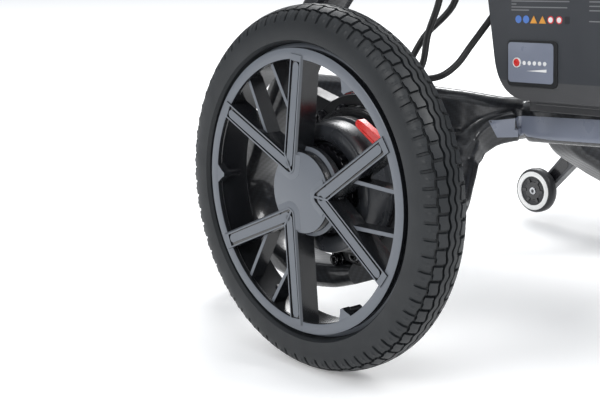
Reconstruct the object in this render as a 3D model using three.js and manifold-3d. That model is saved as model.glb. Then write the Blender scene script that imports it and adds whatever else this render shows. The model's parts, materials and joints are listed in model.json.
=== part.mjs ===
// Electric golf trolley, in millimetres. +Z is up, +Y is forward, +X is the trolley's right side.
// The drive axle line is y = 0 and the floor is z = 0 until the last lines centre the object.
import * as THREE from 'three';
import * as BufferGeometryUtils from 'three/addons/utils/BufferGeometryUtils.js';
import Module from 'manifold-3d';

const wasm = await Module();
wasm.setup();

// ---------- driving dimensions ----------
const gap = 0.3;                 // clearance between neighbouring pieces
const wheelRadius = 135;         // 270 mm drive tyre
const tyreCentreX = 285;         // middle of the right tyre's 40 mm width
const tyreHalfWidth = 20;
const rimFaceX = 304;            // outer face of the right rim
const rimEdgeRadius = 107.6;
const barrelRadius = 98;
const hubRadius = 30;
const axleRadius = 8;
const housingRadius = 57;        // gearbox housing behind each wheel
const gearTeeth = 24;
const pinionTeeth = 8;
const gearModule = 2.25;
const gearDistance = gearModule * (gearTeeth + pinionTeeth) / 2 + gap;
const motorY = -gearDistance * Math.SQRT1_2;    // the motor sits behind and below the axle
const motorZ = wheelRadius - gearDistance * Math.SQRT1_2;
const motorRadius = 28;
const tabPivot = [50, 172];      // red release lever's pivot in front of the housing
const tabTip = [26, 185];
const hingeY = 66;               // mast fold axis
const hingeZ = 519;
const mastSlope = THREE.MathUtils.degToRad(125);    // direction of the upper mast, from +Y
const tubeSlope = THREE.MathUtils.degToRad(135);    // direction of the diagonal tube, from +Y
const tubeLength = 418;
const mastLength = 520;
const casterY = 525;             // steering axis of the front wheel
const frontRadius = 80;
const frontWheelY = casterY - 38;
const pivotY = -148;             // fold axis of the anti-tip arms
const pivotZ = 82;
const rollerRadius = 24.5;
const rollerY = -191.5;
const rollerZ = 34;
const batteryHalfWidth = 75;
const batteryTilt = THREE.MathUtils.degToRad(2.5);
const batteryBaseZ = 181.5;
const buttonY = 10.6;               // power button, from the battery's rear lower corner
const buttonZ = 31;
const cradleRadius = 112;        // inside of the bag cradles
const cradleY = cradleRadius + 16;
const cableRadius = 2.9;
const dialRadius = 13;
const dialY = -74;

const object = new THREE.Group();

// ---------- geometry helpers ----------
const vec = (x, y, z) => new THREE.Vector3(x, y, z);
const SIDE_X = vec(1, 0, 0);
const SIDE_Y = vec(0, 1, 0);
const SIDE_Z = vec(0, 0, 1);

function signedVolume(geometry) {
  const p = geometry.attributes.position;
  const index = geometry.index.array;
  const [a, b, c] = [vec(), vec(), vec()];
  let volume = 0;
  for (let i = 0; i < index.length; i += 3) {
    a.fromBufferAttribute(p, index[i]);
    b.fromBufferAttribute(p, index[i + 1]);
    c.fromBufferAttribute(p, index[i + 2]);
    volume += a.dot(b.cross(c)) / 6;
  }
  return volume;
}

// Merges shared corners, drops sliver triangles and turns the faces outward.
function weld(source) {
  let geometry = source.clone();
  geometry.deleteAttribute('normal');
  geometry.deleteAttribute('uv');
  geometry = BufferGeometryUtils.mergeVertices(geometry, 1e-3);
  const index = geometry.index.array;
  const kept = [];
  for (let i = 0; i < index.length; i += 3) {
    const [a, b, c] = [index[i], index[i + 1], index[i + 2]];
    if (a !== b && b !== c && c !== a) kept.push(a, b, c);
  }
  geometry.setIndex(kept);
  if (signedVolume(geometry) < 0) {
    for (let i = 0; i < kept.length; i += 3) [kept[i], kept[i + 1]] = [kept[i + 1], kept[i]];
    geometry.setIndex(kept);
  }
  return geometry;
}

function toSolid(source) {
  const geometry = weld(source);
  return new wasm.Manifold(new wasm.Mesh({
    numProp: 3,
    vertProperties: new Float32Array(geometry.attributes.position.array),
    triVerts: new Uint32Array(geometry.index.array),
  }));
}

function toGeometry(solid) {
  const mesh = solid.getMesh();
  const geometry = new THREE.BufferGeometry();
  geometry.setAttribute('position', new THREE.BufferAttribute(new Float32Array(mesh.vertProperties), 3));
  geometry.setIndex(new THREE.BufferAttribute(new Uint32Array(mesh.triVerts), 1));
  return geometry;
}

function join(...geometries) {
  return toGeometry(geometries.map(toSolid).reduce((sum, solid) => sum.add(solid)));
}

function cut(geometry, ...tools) {
  return toGeometry(tools.map(toSolid).reduce((rest, tool) => rest.subtract(tool), toSolid(geometry)));
}

function mirror(source) {
  return weld(source.clone().applyMatrix4(new THREE.Matrix4().makeScale(-1, 1, 1)));
}

const moved = (geometry, x, y, z) => geometry.clone().translate(x, y, z);

function block(x0, x1, y0, y1, z0, z1) {
  const box = new THREE.BoxGeometry(x1 - x0, y1 - y0, z1 - z0);
  return box.translate((x0 + x1) / 2, (y0 + y1) / 2, (z0 + z1) / 2);
}

// A cylinder along X between two x values.
function rodX(x0, x1, radius, y, z, sides = 14) {
  const rod = new THREE.CylinderGeometry(radius, radius, x1 - x0, sides);
  return rod.rotateZ(Math.PI / 2).translate((x0 + x1) / 2, y, z);
}

function rodZ(z0, z1, radius, x, y, sides = 14) {
  const rod = new THREE.CylinderGeometry(radius, radius, z1 - z0, sides);
  return rod.rotateX(Math.PI / 2).translate(x, y, (z0 + z1) / 2);
}

// A body turned about an X-directed axis; the profile lists [radius, x] pairs.
function turned(profile, y, z, segments = 24, closes = true) {
  const points = profile.map(([r, x]) => new THREE.Vector2(r, x));
  if (closes) points.push(points[0].clone());
  return new THREE.LatheGeometry(points, segments).rotateZ(-Math.PI / 2).translate(0, y, z);
}

// Extrudes an outline given in (y, z) along X.
function extrudeX(shape, x0, x1, bevel = 0, curveSegments = 3) {
  const geometry = new THREE.ExtrudeGeometry(shape, {
    depth: x1 - x0 - 2 * bevel,
    bevelEnabled: bevel > 0,
    bevelThickness: bevel,
    bevelSize: bevel,
    bevelOffset: -bevel,
    bevelSegments: 1,
    curveSegments,
  });
  const basis = new THREE.Matrix4().makeBasis(vec(0, 1, 0), vec(0, 0, 1), vec(1, 0, 0));
  return geometry.applyMatrix4(basis).translate(x0 + bevel, 0, 0);
}

function polygon(points) {
  return new THREE.Shape(points.map(([x, y]) => new THREE.Vector2(x, y)));
}

function roundedBox(x0, x1, y0, y1, radius) {
  const shape = new THREE.Shape();
  shape.moveTo(x0 + radius, y0);
  shape.lineTo(x1 - radius, y0);
  shape.absarc(x1 - radius, y0 + radius, radius, -Math.PI / 2, 0);
  shape.lineTo(x1, y1 - radius);
  shape.absarc(x1 - radius, y1 - radius, radius, 0, Math.PI / 2);
  shape.lineTo(x0 + radius, y1);
  shape.absarc(x0 + radius, y1 - radius, radius, Math.PI / 2, Math.PI);
  shape.lineTo(x0, y0 + radius);
  shape.absarc(x0 + radius, y0 + radius, radius, Math.PI, Math.PI * 1.5);
  return shape;
}

// A bar or link between two points of the (y, z) plane, with round ends.
function linkShape(y0, z0, r0, y1, z1, r1) {
  const angle = Math.atan2(z1 - z0, y1 - y0);
  const lean = Math.acos((r0 - r1) / Math.hypot(y1 - y0, z1 - z0));
  const shape = new THREE.Shape();
  shape.absarc(y0, z0, r0, angle + lean, angle - lean + 2 * Math.PI);
  shape.absarc(y1, z1, r1, angle - lean, angle + lean);
  return shape;
}

// Rounded-rectangle ring of unit half sizes, used as a sweep's section.
function sectionRing(corner, perCorner) {
  const ring = [];
  for (const [sx, sy, start] of [[1, 1, 0], [-1, 1, 1], [-1, -1, 2], [1, -1, 3]]) {
    for (let i = 0; i <= perCorner; i++) {
      const a = (start + i / perCorner) * Math.PI / 2;
      ring.push([sx * (1 - corner) + corner * Math.cos(a), sy * (1 - corner) + corner * Math.sin(a)]);
    }
  }
  return ring;
}

// Sweeps a rounded box section along a smooth path. Each path point is [x, y, z, halfSide, halfUp]:
// halfSide is the half size along the side direction and halfUp the half size across it.
function sweep(path, side, steps, corner = 0.5, perCorner = 1) {
  const curve = new THREE.CatmullRomCurve3(path.map(([x, y, z]) => vec(x, y, z)), false, 'centripetal');
  const ring = sectionRing(corner, perCorner);
  const positions = [];
  const index = [];
  for (let i = 0; i <= steps; i++) {
    const t = i / steps;
    const place = t * (path.length - 1);
    const k = Math.min(Math.floor(place), path.length - 2);
    const mix = place - k;
    const halfSide = THREE.MathUtils.lerp(path[k][3], path[k + 1][3], mix);
    const halfUp = THREE.MathUtils.lerp(path[k][4], path[k + 1][4], mix);
    const centre = curve.getPoint(t);
    const along = curve.getTangent(t);
    const a = side.clone().addScaledVector(along, -side.dot(along)).normalize();
    const b = vec().crossVectors(along, a);
    for (const [u, v] of ring) {
      const p = centre.clone().addScaledVector(a, u * halfSide).addScaledVector(b, v * halfUp);
      positions.push(p.x, p.y, p.z);
    }
  }
  const n = ring.length;
  for (let i = 0; i < steps; i++) {
    for (let j = 0; j < n; j++) {
      const [p, q] = [i * n + j, i * n + (j + 1) % n];
      index.push(p, q, q + n, p, q + n, p + n);
    }
  }
  const last = steps * n;
  for (let j = 1; j < n - 1; j++) {
    index.push(0, j + 1, j, last, last + j, last + j + 1);
  }
  const geometry = new THREE.BufferGeometry();
  geometry.setAttribute('position', new THREE.Float32BufferAttribute(positions, 3));
  geometry.setIndex(index);
  return geometry;
}

function material(colour, roughness, metalness = 0) {
  return new THREE.MeshStandardMaterial({ color: colour, roughness, metalness });
}

function add(name, geometry, colour, roughness = 0.5, metalness = 0) {
  const mesh = new THREE.Mesh(weld(geometry), material(colour, roughness, metalness));
  mesh.name = name;
  object.add(mesh);
  return mesh;
}

function addPair(name, geometry, colour, roughness = 0.5, metalness = 0) {
  add(`${name}_right`, geometry, colour, roughness, metalness);
  add(`${name}_left`, mirror(geometry), colour, roughness, metalness);
}

const colours = {
  tyre: 0x2a2b2e, rim: 0x666a74, black: 0x141416, carbon: 0x17181b, steel: 0x9a9da2, panel: 0x8d95a5,
  red: 0xd23a35, grey: 0x55585e, battery: 0x46494e, brass: 0xa98c4a, white: 0xe4e4e2, aluminium: 0x9499a0,
};

// ---------- drive wheels ----------
function tyreGeometry() {
  const half = [
    [103.6, -7], [107.95, -10.7], [108.2, -16.5], [117, -20], [128, -17.5], [133.5, -9],
  ];
  const profile = [...half, [wheelRadius, 0], ...half.map(([r, x]) => [r, -x]).reverse()];
  return turned(profile.map(([r, x]) => [r, tyreCentreX + x]), 0, wheelRadius, 32);
}

// A point at a radius and an angle on the wheel face: 0 degrees is rearward, 90 is up.
function onWheel(radius, degrees) {
  const a = THREE.MathUtils.degToRad(degrees);
  return [-radius * Math.cos(a), wheelRadius + radius * Math.sin(a)];
}

function wheelBar(from, to, width, x0, x1) {
  const [dy, dz] = [to[0] - from[0], to[1] - from[1]];
  const k = width / 2 / Math.hypot(dy, dz);
  const shape = polygon([
    [from[0] - dz * k, from[1] + dy * k], [from[0] + dz * k, from[1] - dy * k],
    [to[0] + dz * k, to[1] - dy * k], [to[0] - dz * k, to[1] + dy * k],
  ]);
  return extrudeX(shape, x0, x1);
}

function rimGeometry() {
  const barrel = turned([
    [96.5, rimFaceX], [104.8, rimFaceX], [104.8, 297.8], [rimEdgeRadius, 296.5], [103.2, 293], [103.2, 277],
    [rimEdgeRadius, 273.5], [rimEdgeRadius, 270.3], [101, 271.5], [barrelRadius, 274], [barrelRadius, 300],
  ], 0, wheelRadius, 32);
  const hub = [rodX(287, 303.6, hubRadius, 0, wheelRadius, 20), rodX(276, 287.5, 22, 0, wheelRadius)];
  const pieces = [barrel, ...hub];
  for (const middle of [60, 180, 300]) {
    const apex = onWheel(21, middle);
    pieces.push(rodX(288, 305.2, 6.5, apex[0], apex[1], 8));
    for (const way of [-1, 1]) {
      const tip = onWheel(100, middle + way * 28.5);
      pieces.push(wheelBar(apex, tip, 13, 288, 305.2));
      pieces.push(wheelBar(onWheel(54.6, middle + way * 18.5), onWheel(99.5, middle + way * 8.7), 3, 288, 301));
    }
    const peg = onWheel(94, middle + 60 - 360 * (middle === 300));
    pieces.push(rodX(286, 303, 5, peg[0], peg[1], 8));
  }
  return cut(join(...pieces), rodX(270, 310, axleRadius + gap, 0, wheelRadius));
}

function gearGeometry(teeth, x0, x1, boreRadius, phase) {
  const pitchRadius = gearModule * teeth / 2;
  const points = [];
  for (let i = 0; i < teeth; i++) {
    for (const [turn, rise] of [[-0.30, -1.1], [-0.14, 0.75], [0.14, 0.75], [0.30, -1.1]]) {
      const a = (i + turn + phase) * 2 * Math.PI / teeth;
      const r = pitchRadius + rise * gearModule;
      points.push([r * Math.cos(a), r * Math.sin(a)]);
    }
  }
  return cut(extrudeX(polygon(points), x0, x1), rodX(x0 - 1, x1 + 1, boreRadius, 0, 0, 12));
}

function driveWheels() {
  addPair('tyre', tyreGeometry(), colours.tyre, 0.75);
  addPair('rim', rimGeometry(), colours.rim, 0.4, 0.3);
  const ring = turned([[22.3, 277], [33, 277], [33, 282], [22.3, 282]], 0, wheelRadius);
  addPair('hub_ring', ring, colours.black, 0.2);
  addPair('wheel_axle', join(
    rodX(214, 303.4, axleRadius, 0, wheelRadius), rodX(303.9, 306.1, 12, 0, wheelRadius, 6),
    rodX(302.6, 304.6, 6, 0, wheelRadius),
  ), colours.steel, 0.3, 0.9);
  const gear = gearGeometry(gearTeeth, 248, 256, axleRadius + gap, 0);
  addPair('drive_gear', moved(gear, 0, 0, wheelRadius), colours.steel, 0.35, 0.9);
}

// ---------- drive units ----------
function driveUnits() {
  const housing = cut(
    join(
      rodX(206, 250, housingRadius, 0, wheelRadius, 28),
      rodX(249, 258, 51, 0, wheelRadius, 28),
      extrudeX(linkShape(0, wheelRadius, 40, 30, wheelRadius - 22, 34), 212, 256),
      extrudeX(linkShape(36, 158, 10, ...tabPivot, 6), 236, 257),
      rodX(255, 271.5, 1.8, ...tabPivot, 12),
    ),
    rodX(246, 260, 47.6, 0, wheelRadius, 28),
    rodX(205, 247, axleRadius + gap, 0, wheelRadius),
    rodX(205, 247, 3.5 + gap, motorY, motorZ, 20),
    rodX(236, 247, 16.6, 0, wheelRadius, 18),
  );
  addPair('drive_housing', housing, colours.black, 0.45);
  const cover = turned([
    [axleRadius + gap, 275], [34, 275], [36.5, 281], [45, 282], [48, 279.5], [49, 263], [51, 262],
    [51, 258 + gap], [46.6, 258 + gap], [44.5, 264], [42, 276], [39, 276], [35, 269], [axleRadius + gap, 268],
  ], 0, wheelRadius);
  addPair('drive_cover', cover, colours.grey, 0.35);
  const bearing = turned([
    [axleRadius + gap, 237], [16, 237], [16, 245.5], [axleRadius + gap, 245.5],
  ], 0, wheelRadius, 18);
  addPair('output_bearing', bearing, colours.steel, 0.25, 0.9);
  // The pinion's tooth gap faces the big gear, which lies up and forward of it.
  const pinion = gearGeometry(pinionTeeth, 248, 256, 3.5 + gap, 0.5);
  addPair('motor_pinion', moved(pinion, 0, motorY, motorZ), colours.brass, 0.35, 0.8);
  const motor = turned([
    [0, 252], [3.5, 252], [3.5, 205.7], [24, 205.7], [motorRadius, 202],
    [motorRadius, 168], [24, 163], [0, 163],
  ], motorY, motorZ, 20, false);
  addPair('motor', motor, colours.black, 0.3, 0.5);
  const tab = cut(
    extrudeX(linkShape(...tabPivot, 4.5, ...tabTip, 3.2), 263, 271, 0.8),
    rodX(260, 275, 2.1, ...tabPivot, 16),
  );
  addPair('release_tab', tab, colours.red, 0.35);
  addPair('motor_clamp', clampGeometry(), colours.black, 0.4);
}

// Split ring round the housing, with an arm up to the strut and a foot on the loop's lower arm.
function clampGeometry() {
  const ring = turned([[57.4, 226], [66, 226], [66, 244], [57.4, 244]], 0, wheelRadius, 28);
  const opening = block(220, 250, 4, 80, 60, 230);
  const upper = extrudeX(linkShape(-40, 182, 11, -74, 192, 9), 227, 243);
  const lower = extrudeX(linkShape(-24, 71, 8, -24, 77, 8), 227, 243);
  const body = cut(join(ring, upper, lower), opening);
  return cut(body, rodX(200, 260, 57.4, 0, wheelRadius, 28), grown(loopPath, SIDE_X, 30));
}

// ---------- carbon frame ----------
// Path points are [x, y, z, half size along the side direction, half size across it].
const railPath = [
  [0, -20, 155.5, 30, 18.2], [0, 65, 161.5, 30, 18.2], [0, 150, 167.5, 30, 18.2],
  [0, 235, 178, 29, 18], [0, 320, 196, 26, 17.5], [0, 405, 221, 22, 17], [0, 490, 236, 19, 16],
];
const yokePath = [
  [2, -34, 156, 18.2, 14], [34, -36, 157, 18.5, 12], [62, -62, 162, 19.5, 11.5],
  [92, -98, 168, 19, 11], [140, -109, 177, 17, 10], [190, -107, 188, 14, 10], [222, -98, 194, 12, 9],
];
const legPath = [
  [26, -44, 150, 12, 9], [42, -54, 146, 17, 10], [59, -56, 139, 19, 10.5], [70, -53.5, 130.5, 19, 10.5],
  [77.5, -51, 119.5, 18, 10.5], [94.5, -41, 106, 18, 10.5], [116, -29, 91, 18, 10.5], [165, -18, 68, 15, 10], [216.6, -22, 58, 13, 9],
];
const loopPath = [
  [14, 99, 454, 14, 9], [70, 76, 436, 16, 9.5], [140, 36, 394, 17, 10], [200, -6, 336, 18, 10],
  [231, -40, 278, 18, 10], [235, -66, 238, 18, 10], [235, -94, 189, 18, 10], [235, -120, 146, 18, 10],
  [235, -134, 119, 18, 10], [235, -131, 93, 18, 10], [235, -115, 71, 18, 10], [235, -92, 59, 18, 10],
  [235, -57, 54, 18, 10], [235, -26, 57, 17, 9.5], [235, -5, 62, 14, 8],
];

// The same sweep with the clearance added all round, used to cut a neighbour back.
function grown(path, side, steps) {
  return sweep(path.map(([x, y, z, a, b]) => [x, y, z, a + gap, b + gap]), side, steps);
}

// A point measured from the fold axis: along a slope, and across it towards the bag.
function fromHinge(slope, along, across) {
  return [
    hingeY + along * Math.cos(slope) + across * Math.sin(slope),
    hingeZ + along * Math.sin(slope) - across * Math.cos(slope),
  ];
}

function straightTube(slope, from, to, halfX, halfAcross) {
  const [y0, z0] = fromHinge(slope, from, -20);
  const [y1, z1] = fromHinge(slope, to, -20);
  return sweep([[0, y0, z0, halfX, halfAcross], [0, y1, z1, halfX, halfAcross]], SIDE_X, 1, 0.4, 2);
}

function frame() {
  const yoke = sweep(yokePath, SIDE_Z, 9);
  const leg = sweep(legPath, SIDE_Y, 9);
  const head = rodZ(206, 262, 19, 0, casterY);
  const neck = sweep([[0, 470, 233, 19, 16], [0, 515, 236, 17, 15]], SIDE_X, 1);
  const monocoque = cut(
    join(sweep(railPath, SIDE_X, 12), yoke, mirror(yoke), leg, mirror(leg), neck, head),
    rodZ(200, 270, axleRadius + gap, 0, casterY),
  );
  add('main_frame', monocoque, colours.carbon, 0.3);
  const lugRoot = [-128, 90];
  const lug = join(
    rodX(230, 250, 9, pivotY, pivotZ, 24), wheelBar([pivotY, pivotZ], lugRoot, 17, 230, 250),
  );
  const tube = straightTube(tubeSlope, -tubeLength, -40, 18, 22);
  const loop = cut(
    join(sweep(loopPath, SIDE_X, 30), lug),
    rodX(228, 252, 4 + gap, pivotY, pivotZ, 16),
    grown(yokePath.map((p, i) => (i === 6 ? [222.6, -98, 194, 12, 9] : p)), SIDE_Z, 9),
    grown(legPath, SIDE_Y, 9),
    straightTube(tubeSlope, -tubeLength, -40, 18 + gap, 22 + gap),
  );
  addPair('side_loop', loop, colours.carbon, 0.3);
  add('diagonal_tube', cut(tube, grown(railPath, SIDE_X, 12)), colours.carbon, 0.3);
}

// ---------- anti-tip arms behind the drive wheels ----------

function antiTip() {
  const arm = join(
    extrudeX(linkShape(pivotY, pivotZ, 9, rollerY, rollerZ, 7.5), 217, 229.5),
    rodX(229, 249, 4, pivotY, pivotZ, 16),
    rodX(202, 218, 4, rollerY, rollerZ, 16),
  );
  addPair('antitip_arm', arm, colours.grey, 0.45);
  const roller = turned([
    [4 + gap, 203], [14, 201.5], [20, 200.5], [23.4, 202], [rollerRadius, 205.5], [rollerRadius, 211],
    [23.4, 214.5], [20, 216], [4 + gap, 215],
  ], rollerY, rollerZ, 20);
  addPair('antitip_roller', roller, colours.black, 0.6);
}

// ---------- battery ----------
function tilted(geometry) {
  return geometry.rotateX(batteryTilt).translate(0, 0, batteryBaseZ);
}

function battery() {
  const outline = new THREE.Shape();
  outline.moveTo(22, 0);
  outline.lineTo(158, 0);
  outline.quadraticCurveTo(166, 0, 166, 8);
  outline.lineTo(166, 95);
  outline.quadraticCurveTo(166, 107, 154, 107);
  outline.lineTo(-12, 107);
  outline.quadraticCurveTo(-25, 107, -23, 93);
  outline.lineTo(-15, 36);
  outline.bezierCurveTo(-12, 12, 0, 0, 22, 0);
  const shell = extrudeX(outline, -batteryHalfWidth, batteryHalfWidth, 3, 6);
  const pocket = rodX(72.3, 80, 4.4, buttonY, buttonZ, 24);
  const grip = extrudeX(roundedBox(40, 110, 78, 130, 8), -60, 60);
  const bar = rodX(-62, 62, 8, 75, 96, 20);
  add('battery_case', tilted(join(cut(shell, pocket, grip), bar)), colours.battery, 0.45);
  const plate = extrudeX(roundedBox(1.4, 47.6, 15, 47.4, 3), batteryHalfWidth + gap, 76.5, 0, 4);
  add('battery_panel', tilted(cut(plate, rodX(70, 80, 4.4, buttonY, buttonZ, 24))), colours.panel, 0.35);
  add('battery_button', tilted(rodX(73.8, 77.2, 4, buttonY, buttonZ, 24)), colours.red, 0.35);
  const tray = tilted(join(block(-42, 42, -4, 150, -13, -gap), block(-64, 64, 20, 130, -4, -gap)));
  add('battery_tray', cut(tray, grown(railPath, SIDE_X, 12), grown(yokePath, SIDE_Z, 9),
    mirror(grown(yokePath, SIDE_Z, 9))), colours.grey, 0.5);
}

// ---------- cables between the motors, the battery and the mast ----------
function tube(points, radius, steps) {
  const section = new THREE.Shape();
  for (let i = 0; i < 8; i++) {
    const a = i * Math.PI / 4;
    if (i === 0) section.moveTo(radius, 0);
    else section.lineTo(radius * Math.cos(a), radius * Math.sin(a));
  }
  const curve = new THREE.CatmullRomCurve3(points.map((p) => vec(...p)), false, 'centripetal');
  return new THREE.ExtrudeGeometry(section, { steps, extrudePath: curve });
}

const cableRoutes = {
  signal: [
    [205.5, -22, 177], [197, -22, 177], [184, -30, 172], [152, -62, 160], [122, -128, 154], [98, -129, 176], [96, -112, 193],
    [96, -81, 201], [96, -72, 232], [96, -60, 261], [92, -58, 300], [78, -44, 346], [56, 8, 385], [36, 66, 408],
    [22, 112, 420],
  ],
  motor: [
    [205.5, -32, 168], [197, -32, 168], [186, -39, 164], [160, -66, 155], [128, -138, 148], [98, -141, 174],
    [82, -116, 192],
    [80, -107, 206], [78, -94, 226], [76, -60, 260], [76, -62, 300], [68, -52, 345], [54, 4, 372], [44, 54, 384],
    [33, 104, 390], [22, 142, 398],
  ],
  power: [
    [205.5, -10, 175], [197, -10, 175], [182, -19, 170], [142, -58, 158], [112, -120, 148], [86, -116, 172], [84, -107, 191],
    [84, -90, 190.5], [80, -70, 195], [72, -60, 205], [64, -52, 221], [54, -35, 249],
  ],
};

function cables() {
  for (const [name, route] of Object.entries(cableRoutes)) {
    add(`${name}_cable`, tube(route, cableRadius, 24), colours.black, 0.45);
  }
  add('left_motor_cable', mirror(tube(cableRoutes.motor, cableRadius, 24)), colours.black, 0.45);
}

// ---------- front caster ----------
function frontCaster() {
  const reach = frontWheelY - casterY;
  const fork = join(
    rodZ(176, 266, axleRadius, 0, casterY, 14),
    rodZ(266, 272, 14, 0, casterY, 14),
    extrudeX(roundedBox(casterY - 22, casterY + 20, 176, 200, 8), -33, 33),
    extrudeX(linkShape(casterY - 2, 188, 12, frontWheelY, frontRadius, 9), 25, 33),
    extrudeX(linkShape(casterY - 2, 188, 12, frontWheelY, frontRadius, 9), -33, -25),
    rodX(-33, 33, 5, casterY + reach, frontRadius, 12),
  );
  add('caster_fork', fork, colours.grey, 0.4, 0.4);
  const tyre = turned([
    [62.3, -12], [66, -18], [73, -20], [78, -16], [frontRadius, -6], [frontRadius, 6], [78, 16],
    [73, 20], [66, 18], [62.3, 12],
  ], frontWheelY, frontRadius, 28);
  add('front_tyre', tyre, colours.tyre, 0.75);
  const rimRing = turned([[62, -14], [62, 14], [54, 14], [52, 0], [54, -14]], frontWheelY, frontRadius, 28);
  const hub = rodX(-22, 22, 14, frontWheelY, frontRadius);
  const spokes = [];
  for (let i = 0; i < 6; i++) {
    const a = i * Math.PI / 3 + 0.5;
    const end = [frontWheelY + 55 * Math.cos(a), frontRadius + 55 * Math.sin(a)];
    spokes.push(wheelBar([frontWheelY, frontRadius], end, 9, -9, 9));
  }
  add('front_rim', cut(join(rimRing, hub, ...spokes), rodX(-30, 30, 5 + gap, frontWheelY, frontRadius, 12)),
    colours.rim, 0.4, 0.3);
}

// ---------- folding mast ----------
function mast() {
  const [tubeY, tubeZ] = fromHinge(tubeSlope, -34, -20);
  const [mastY, mastZ] = fromHinge(mastSlope, 34, -20);
  const knuckle = cut(
    join(
      extrudeX(linkShape(hingeY, hingeZ, 14, tubeY, tubeZ, 15), -18, 18),
      straightTube(tubeSlope, -40 + gap, -28, 18, 22),
    ),
    rodX(-11.8, 11.8, 15.5, hingeY, hingeZ, 14),
    rodX(-20, 20, 5 + gap, hingeY, hingeZ, 14),
    straightTube(tubeSlope, -60, -40 + gap, 18 + gap, 22 + gap),
  );
  add('mast_knuckle', knuckle, colours.grey, 0.4, 0.4);
  const upper = cut(
    join(
      extrudeX(linkShape(hingeY, hingeZ, 13, mastY, mastZ, 14), -11.5, 11.5),
      straightTube(mastSlope, 24, mastLength, 16, 20),
    ),
    rodX(-20, 20, 5 + gap, hingeY, hingeZ, 14),
  );
  add('upper_mast', upper, colours.carbon, 0.3);
  add('hinge_pin', join(
    rodX(-23, 23, 5, hingeY, hingeZ, 14), rodX(18.3, 23, 8, hingeY, hingeZ, 14),
    rodX(-23, -18.3, 8, hingeY, hingeZ, 14),
  ), colours.steel, 0.3, 0.9);
  const [leverY, leverZ] = fromHinge(tubeSlope, -56, -53.5);
  const [endY, endZ] = fromHinge(tubeSlope, -118, -51);
  add('mast_lever', join(
    extrudeX(linkShape(leverY, leverZ, 6, endY, endZ, 3.5), -14, 14), rodX(-20, 20, 3, leverY, leverZ, 16),
  ), colours.red, 0.4);
  const [lugY, lugZ] = fromHinge(tubeSlope, -56, -46);
  const ears = [[14.4, 18], [-18, -14.4]].map(([x0, x1]) => (
    extrudeX(linkShape(leverY, leverZ, 5.5, lugY, lugZ, 5), x0, x1)
  ));
  const plate = wheelBar(fromHinge(tubeSlope, -70, -44.5), fromHinge(tubeSlope, -44, -44.5), 4, -18, 18);
  add('lever_bracket', cut(
    join(...ears, plate), rodX(-21, 21, 3 + gap, leverY, leverZ, 16),
    straightTube(tubeSlope, -tubeLength, 0, 18 + gap, 22 + gap),
    wheelBar(fromHinge(tubeSlope, -140, -52), fromHinge(tubeSlope, -48, -52), 12.6, -14.4, 14.4),
  ), colours.grey, 0.4, 0.4);
}

// ---------- bag supports ----------
// Cradle pieces are drawn flat, with the bag's axis along local Z and the tube below it, then placed.
function placeOnTube(geometry, slope, along) {
  const [y, z] = fromHinge(slope, along, 0);
  const basis = new THREE.Matrix4().makeBasis(
    vec(1, 0, 0), vec(0, Math.sin(slope), -Math.cos(slope)), vec(0, Math.cos(slope), Math.sin(slope)),
  );
  return geometry.clone().applyMatrix4(basis).translate(0, y, z);
}

// Part of a ring round the bag; angles in degrees, with -90 against the tube.
function arcBand(from, to, inner, outer, height) {
  const [a, b] = [THREE.MathUtils.degToRad(from), THREE.MathUtils.degToRad(to)];
  const shape = new THREE.Shape();
  shape.absarc(0, cradleY, outer, a, b, false);
  shape.absarc(0, cradleY, inner, b, a, true);
  return new THREE.ExtrudeGeometry(shape, { depth: height, bevelEnabled: false, curveSegments: 5 });
}

function cradle(name, slope, along) {
  const saddle = join(
    arcBand(-138, -42, cradleRadius, cradleRadius + 10, 36),
    block(-15, 15, 2.4, 10, 0, 36),
  );
  const [hingeX, hingeAcross] = armHinge();
  const bore = rodZ(-5, 45, 3 + gap, hingeX, hingeAcross, 12);
  const knob = rodZ(0, 36, 9, hingeX, hingeAcross, 12);
  const gapCut = rodZ(8, 28, 9.5, hingeX, hingeAcross, 12);
  const pair = (geometry) => [geometry, mirror(geometry)];
  const body = cut(join(saddle, ...pair(knob)), ...pair(gapCut), ...pair(bore));
  add(`${name}_cradle`, placeOnTube(body, slope, along), colours.black, 0.5);
  const arm = join(
    cut(arcBand(-40, 28, cradleRadius, cradleRadius + 8, 18), block(-200, 0, -10, 300, -5, 40)),
    rodZ(0, 18, 8.8, hingeX, hingeAcross, 12),
    rodZ(-8, 26, 3, hingeX, hingeAcross, 12),
  );
  for (const [side, piece] of [['right', arm], ['left', mirror(arm)]]) {
    add(`${name}_arm_${side}`, placeOnTube(moved(piece, 0, 0, 9), slope, along), colours.black, 0.5);
  }
}

function armHinge() {
  const a = THREE.MathUtils.degToRad(-41);
  const r = cradleRadius + 5;
  return [r * Math.cos(a), cradleY + r * Math.sin(a)];
}

function bagSupports() {
  cradle('upper', mastSlope, 250);
  cradle('lower', tubeSlope, -300);
  const plate = new THREE.ExtrudeGeometry(roundedBox(-80, 80, 2.6, 205, 30), {
    depth: 8, bevelEnabled: false, curveSegments: 4,
  });
  const lip = new THREE.ExtrudeGeometry(roundedBox(-50, 50, 195, 205, 4), {
    depth: 30, bevelEnabled: false, curveSegments: 3,
  });
  const bracket = block(-22, 22, 2.6, 22, -30, 4);
  const shelf = join(plate, moved(lip, 0, 0, 4), bracket);
  add('bag_base', placeOnTube(shelf, tubeSlope, -345), colours.black, 0.5);
}

// ---------- handle and console ----------
function placeAtHandle(geometry) {
  const [y, z] = fromHinge(mastSlope, mastLength + 14, -20);
  return geometry.clone().translate(0, y, z);
}

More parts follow.
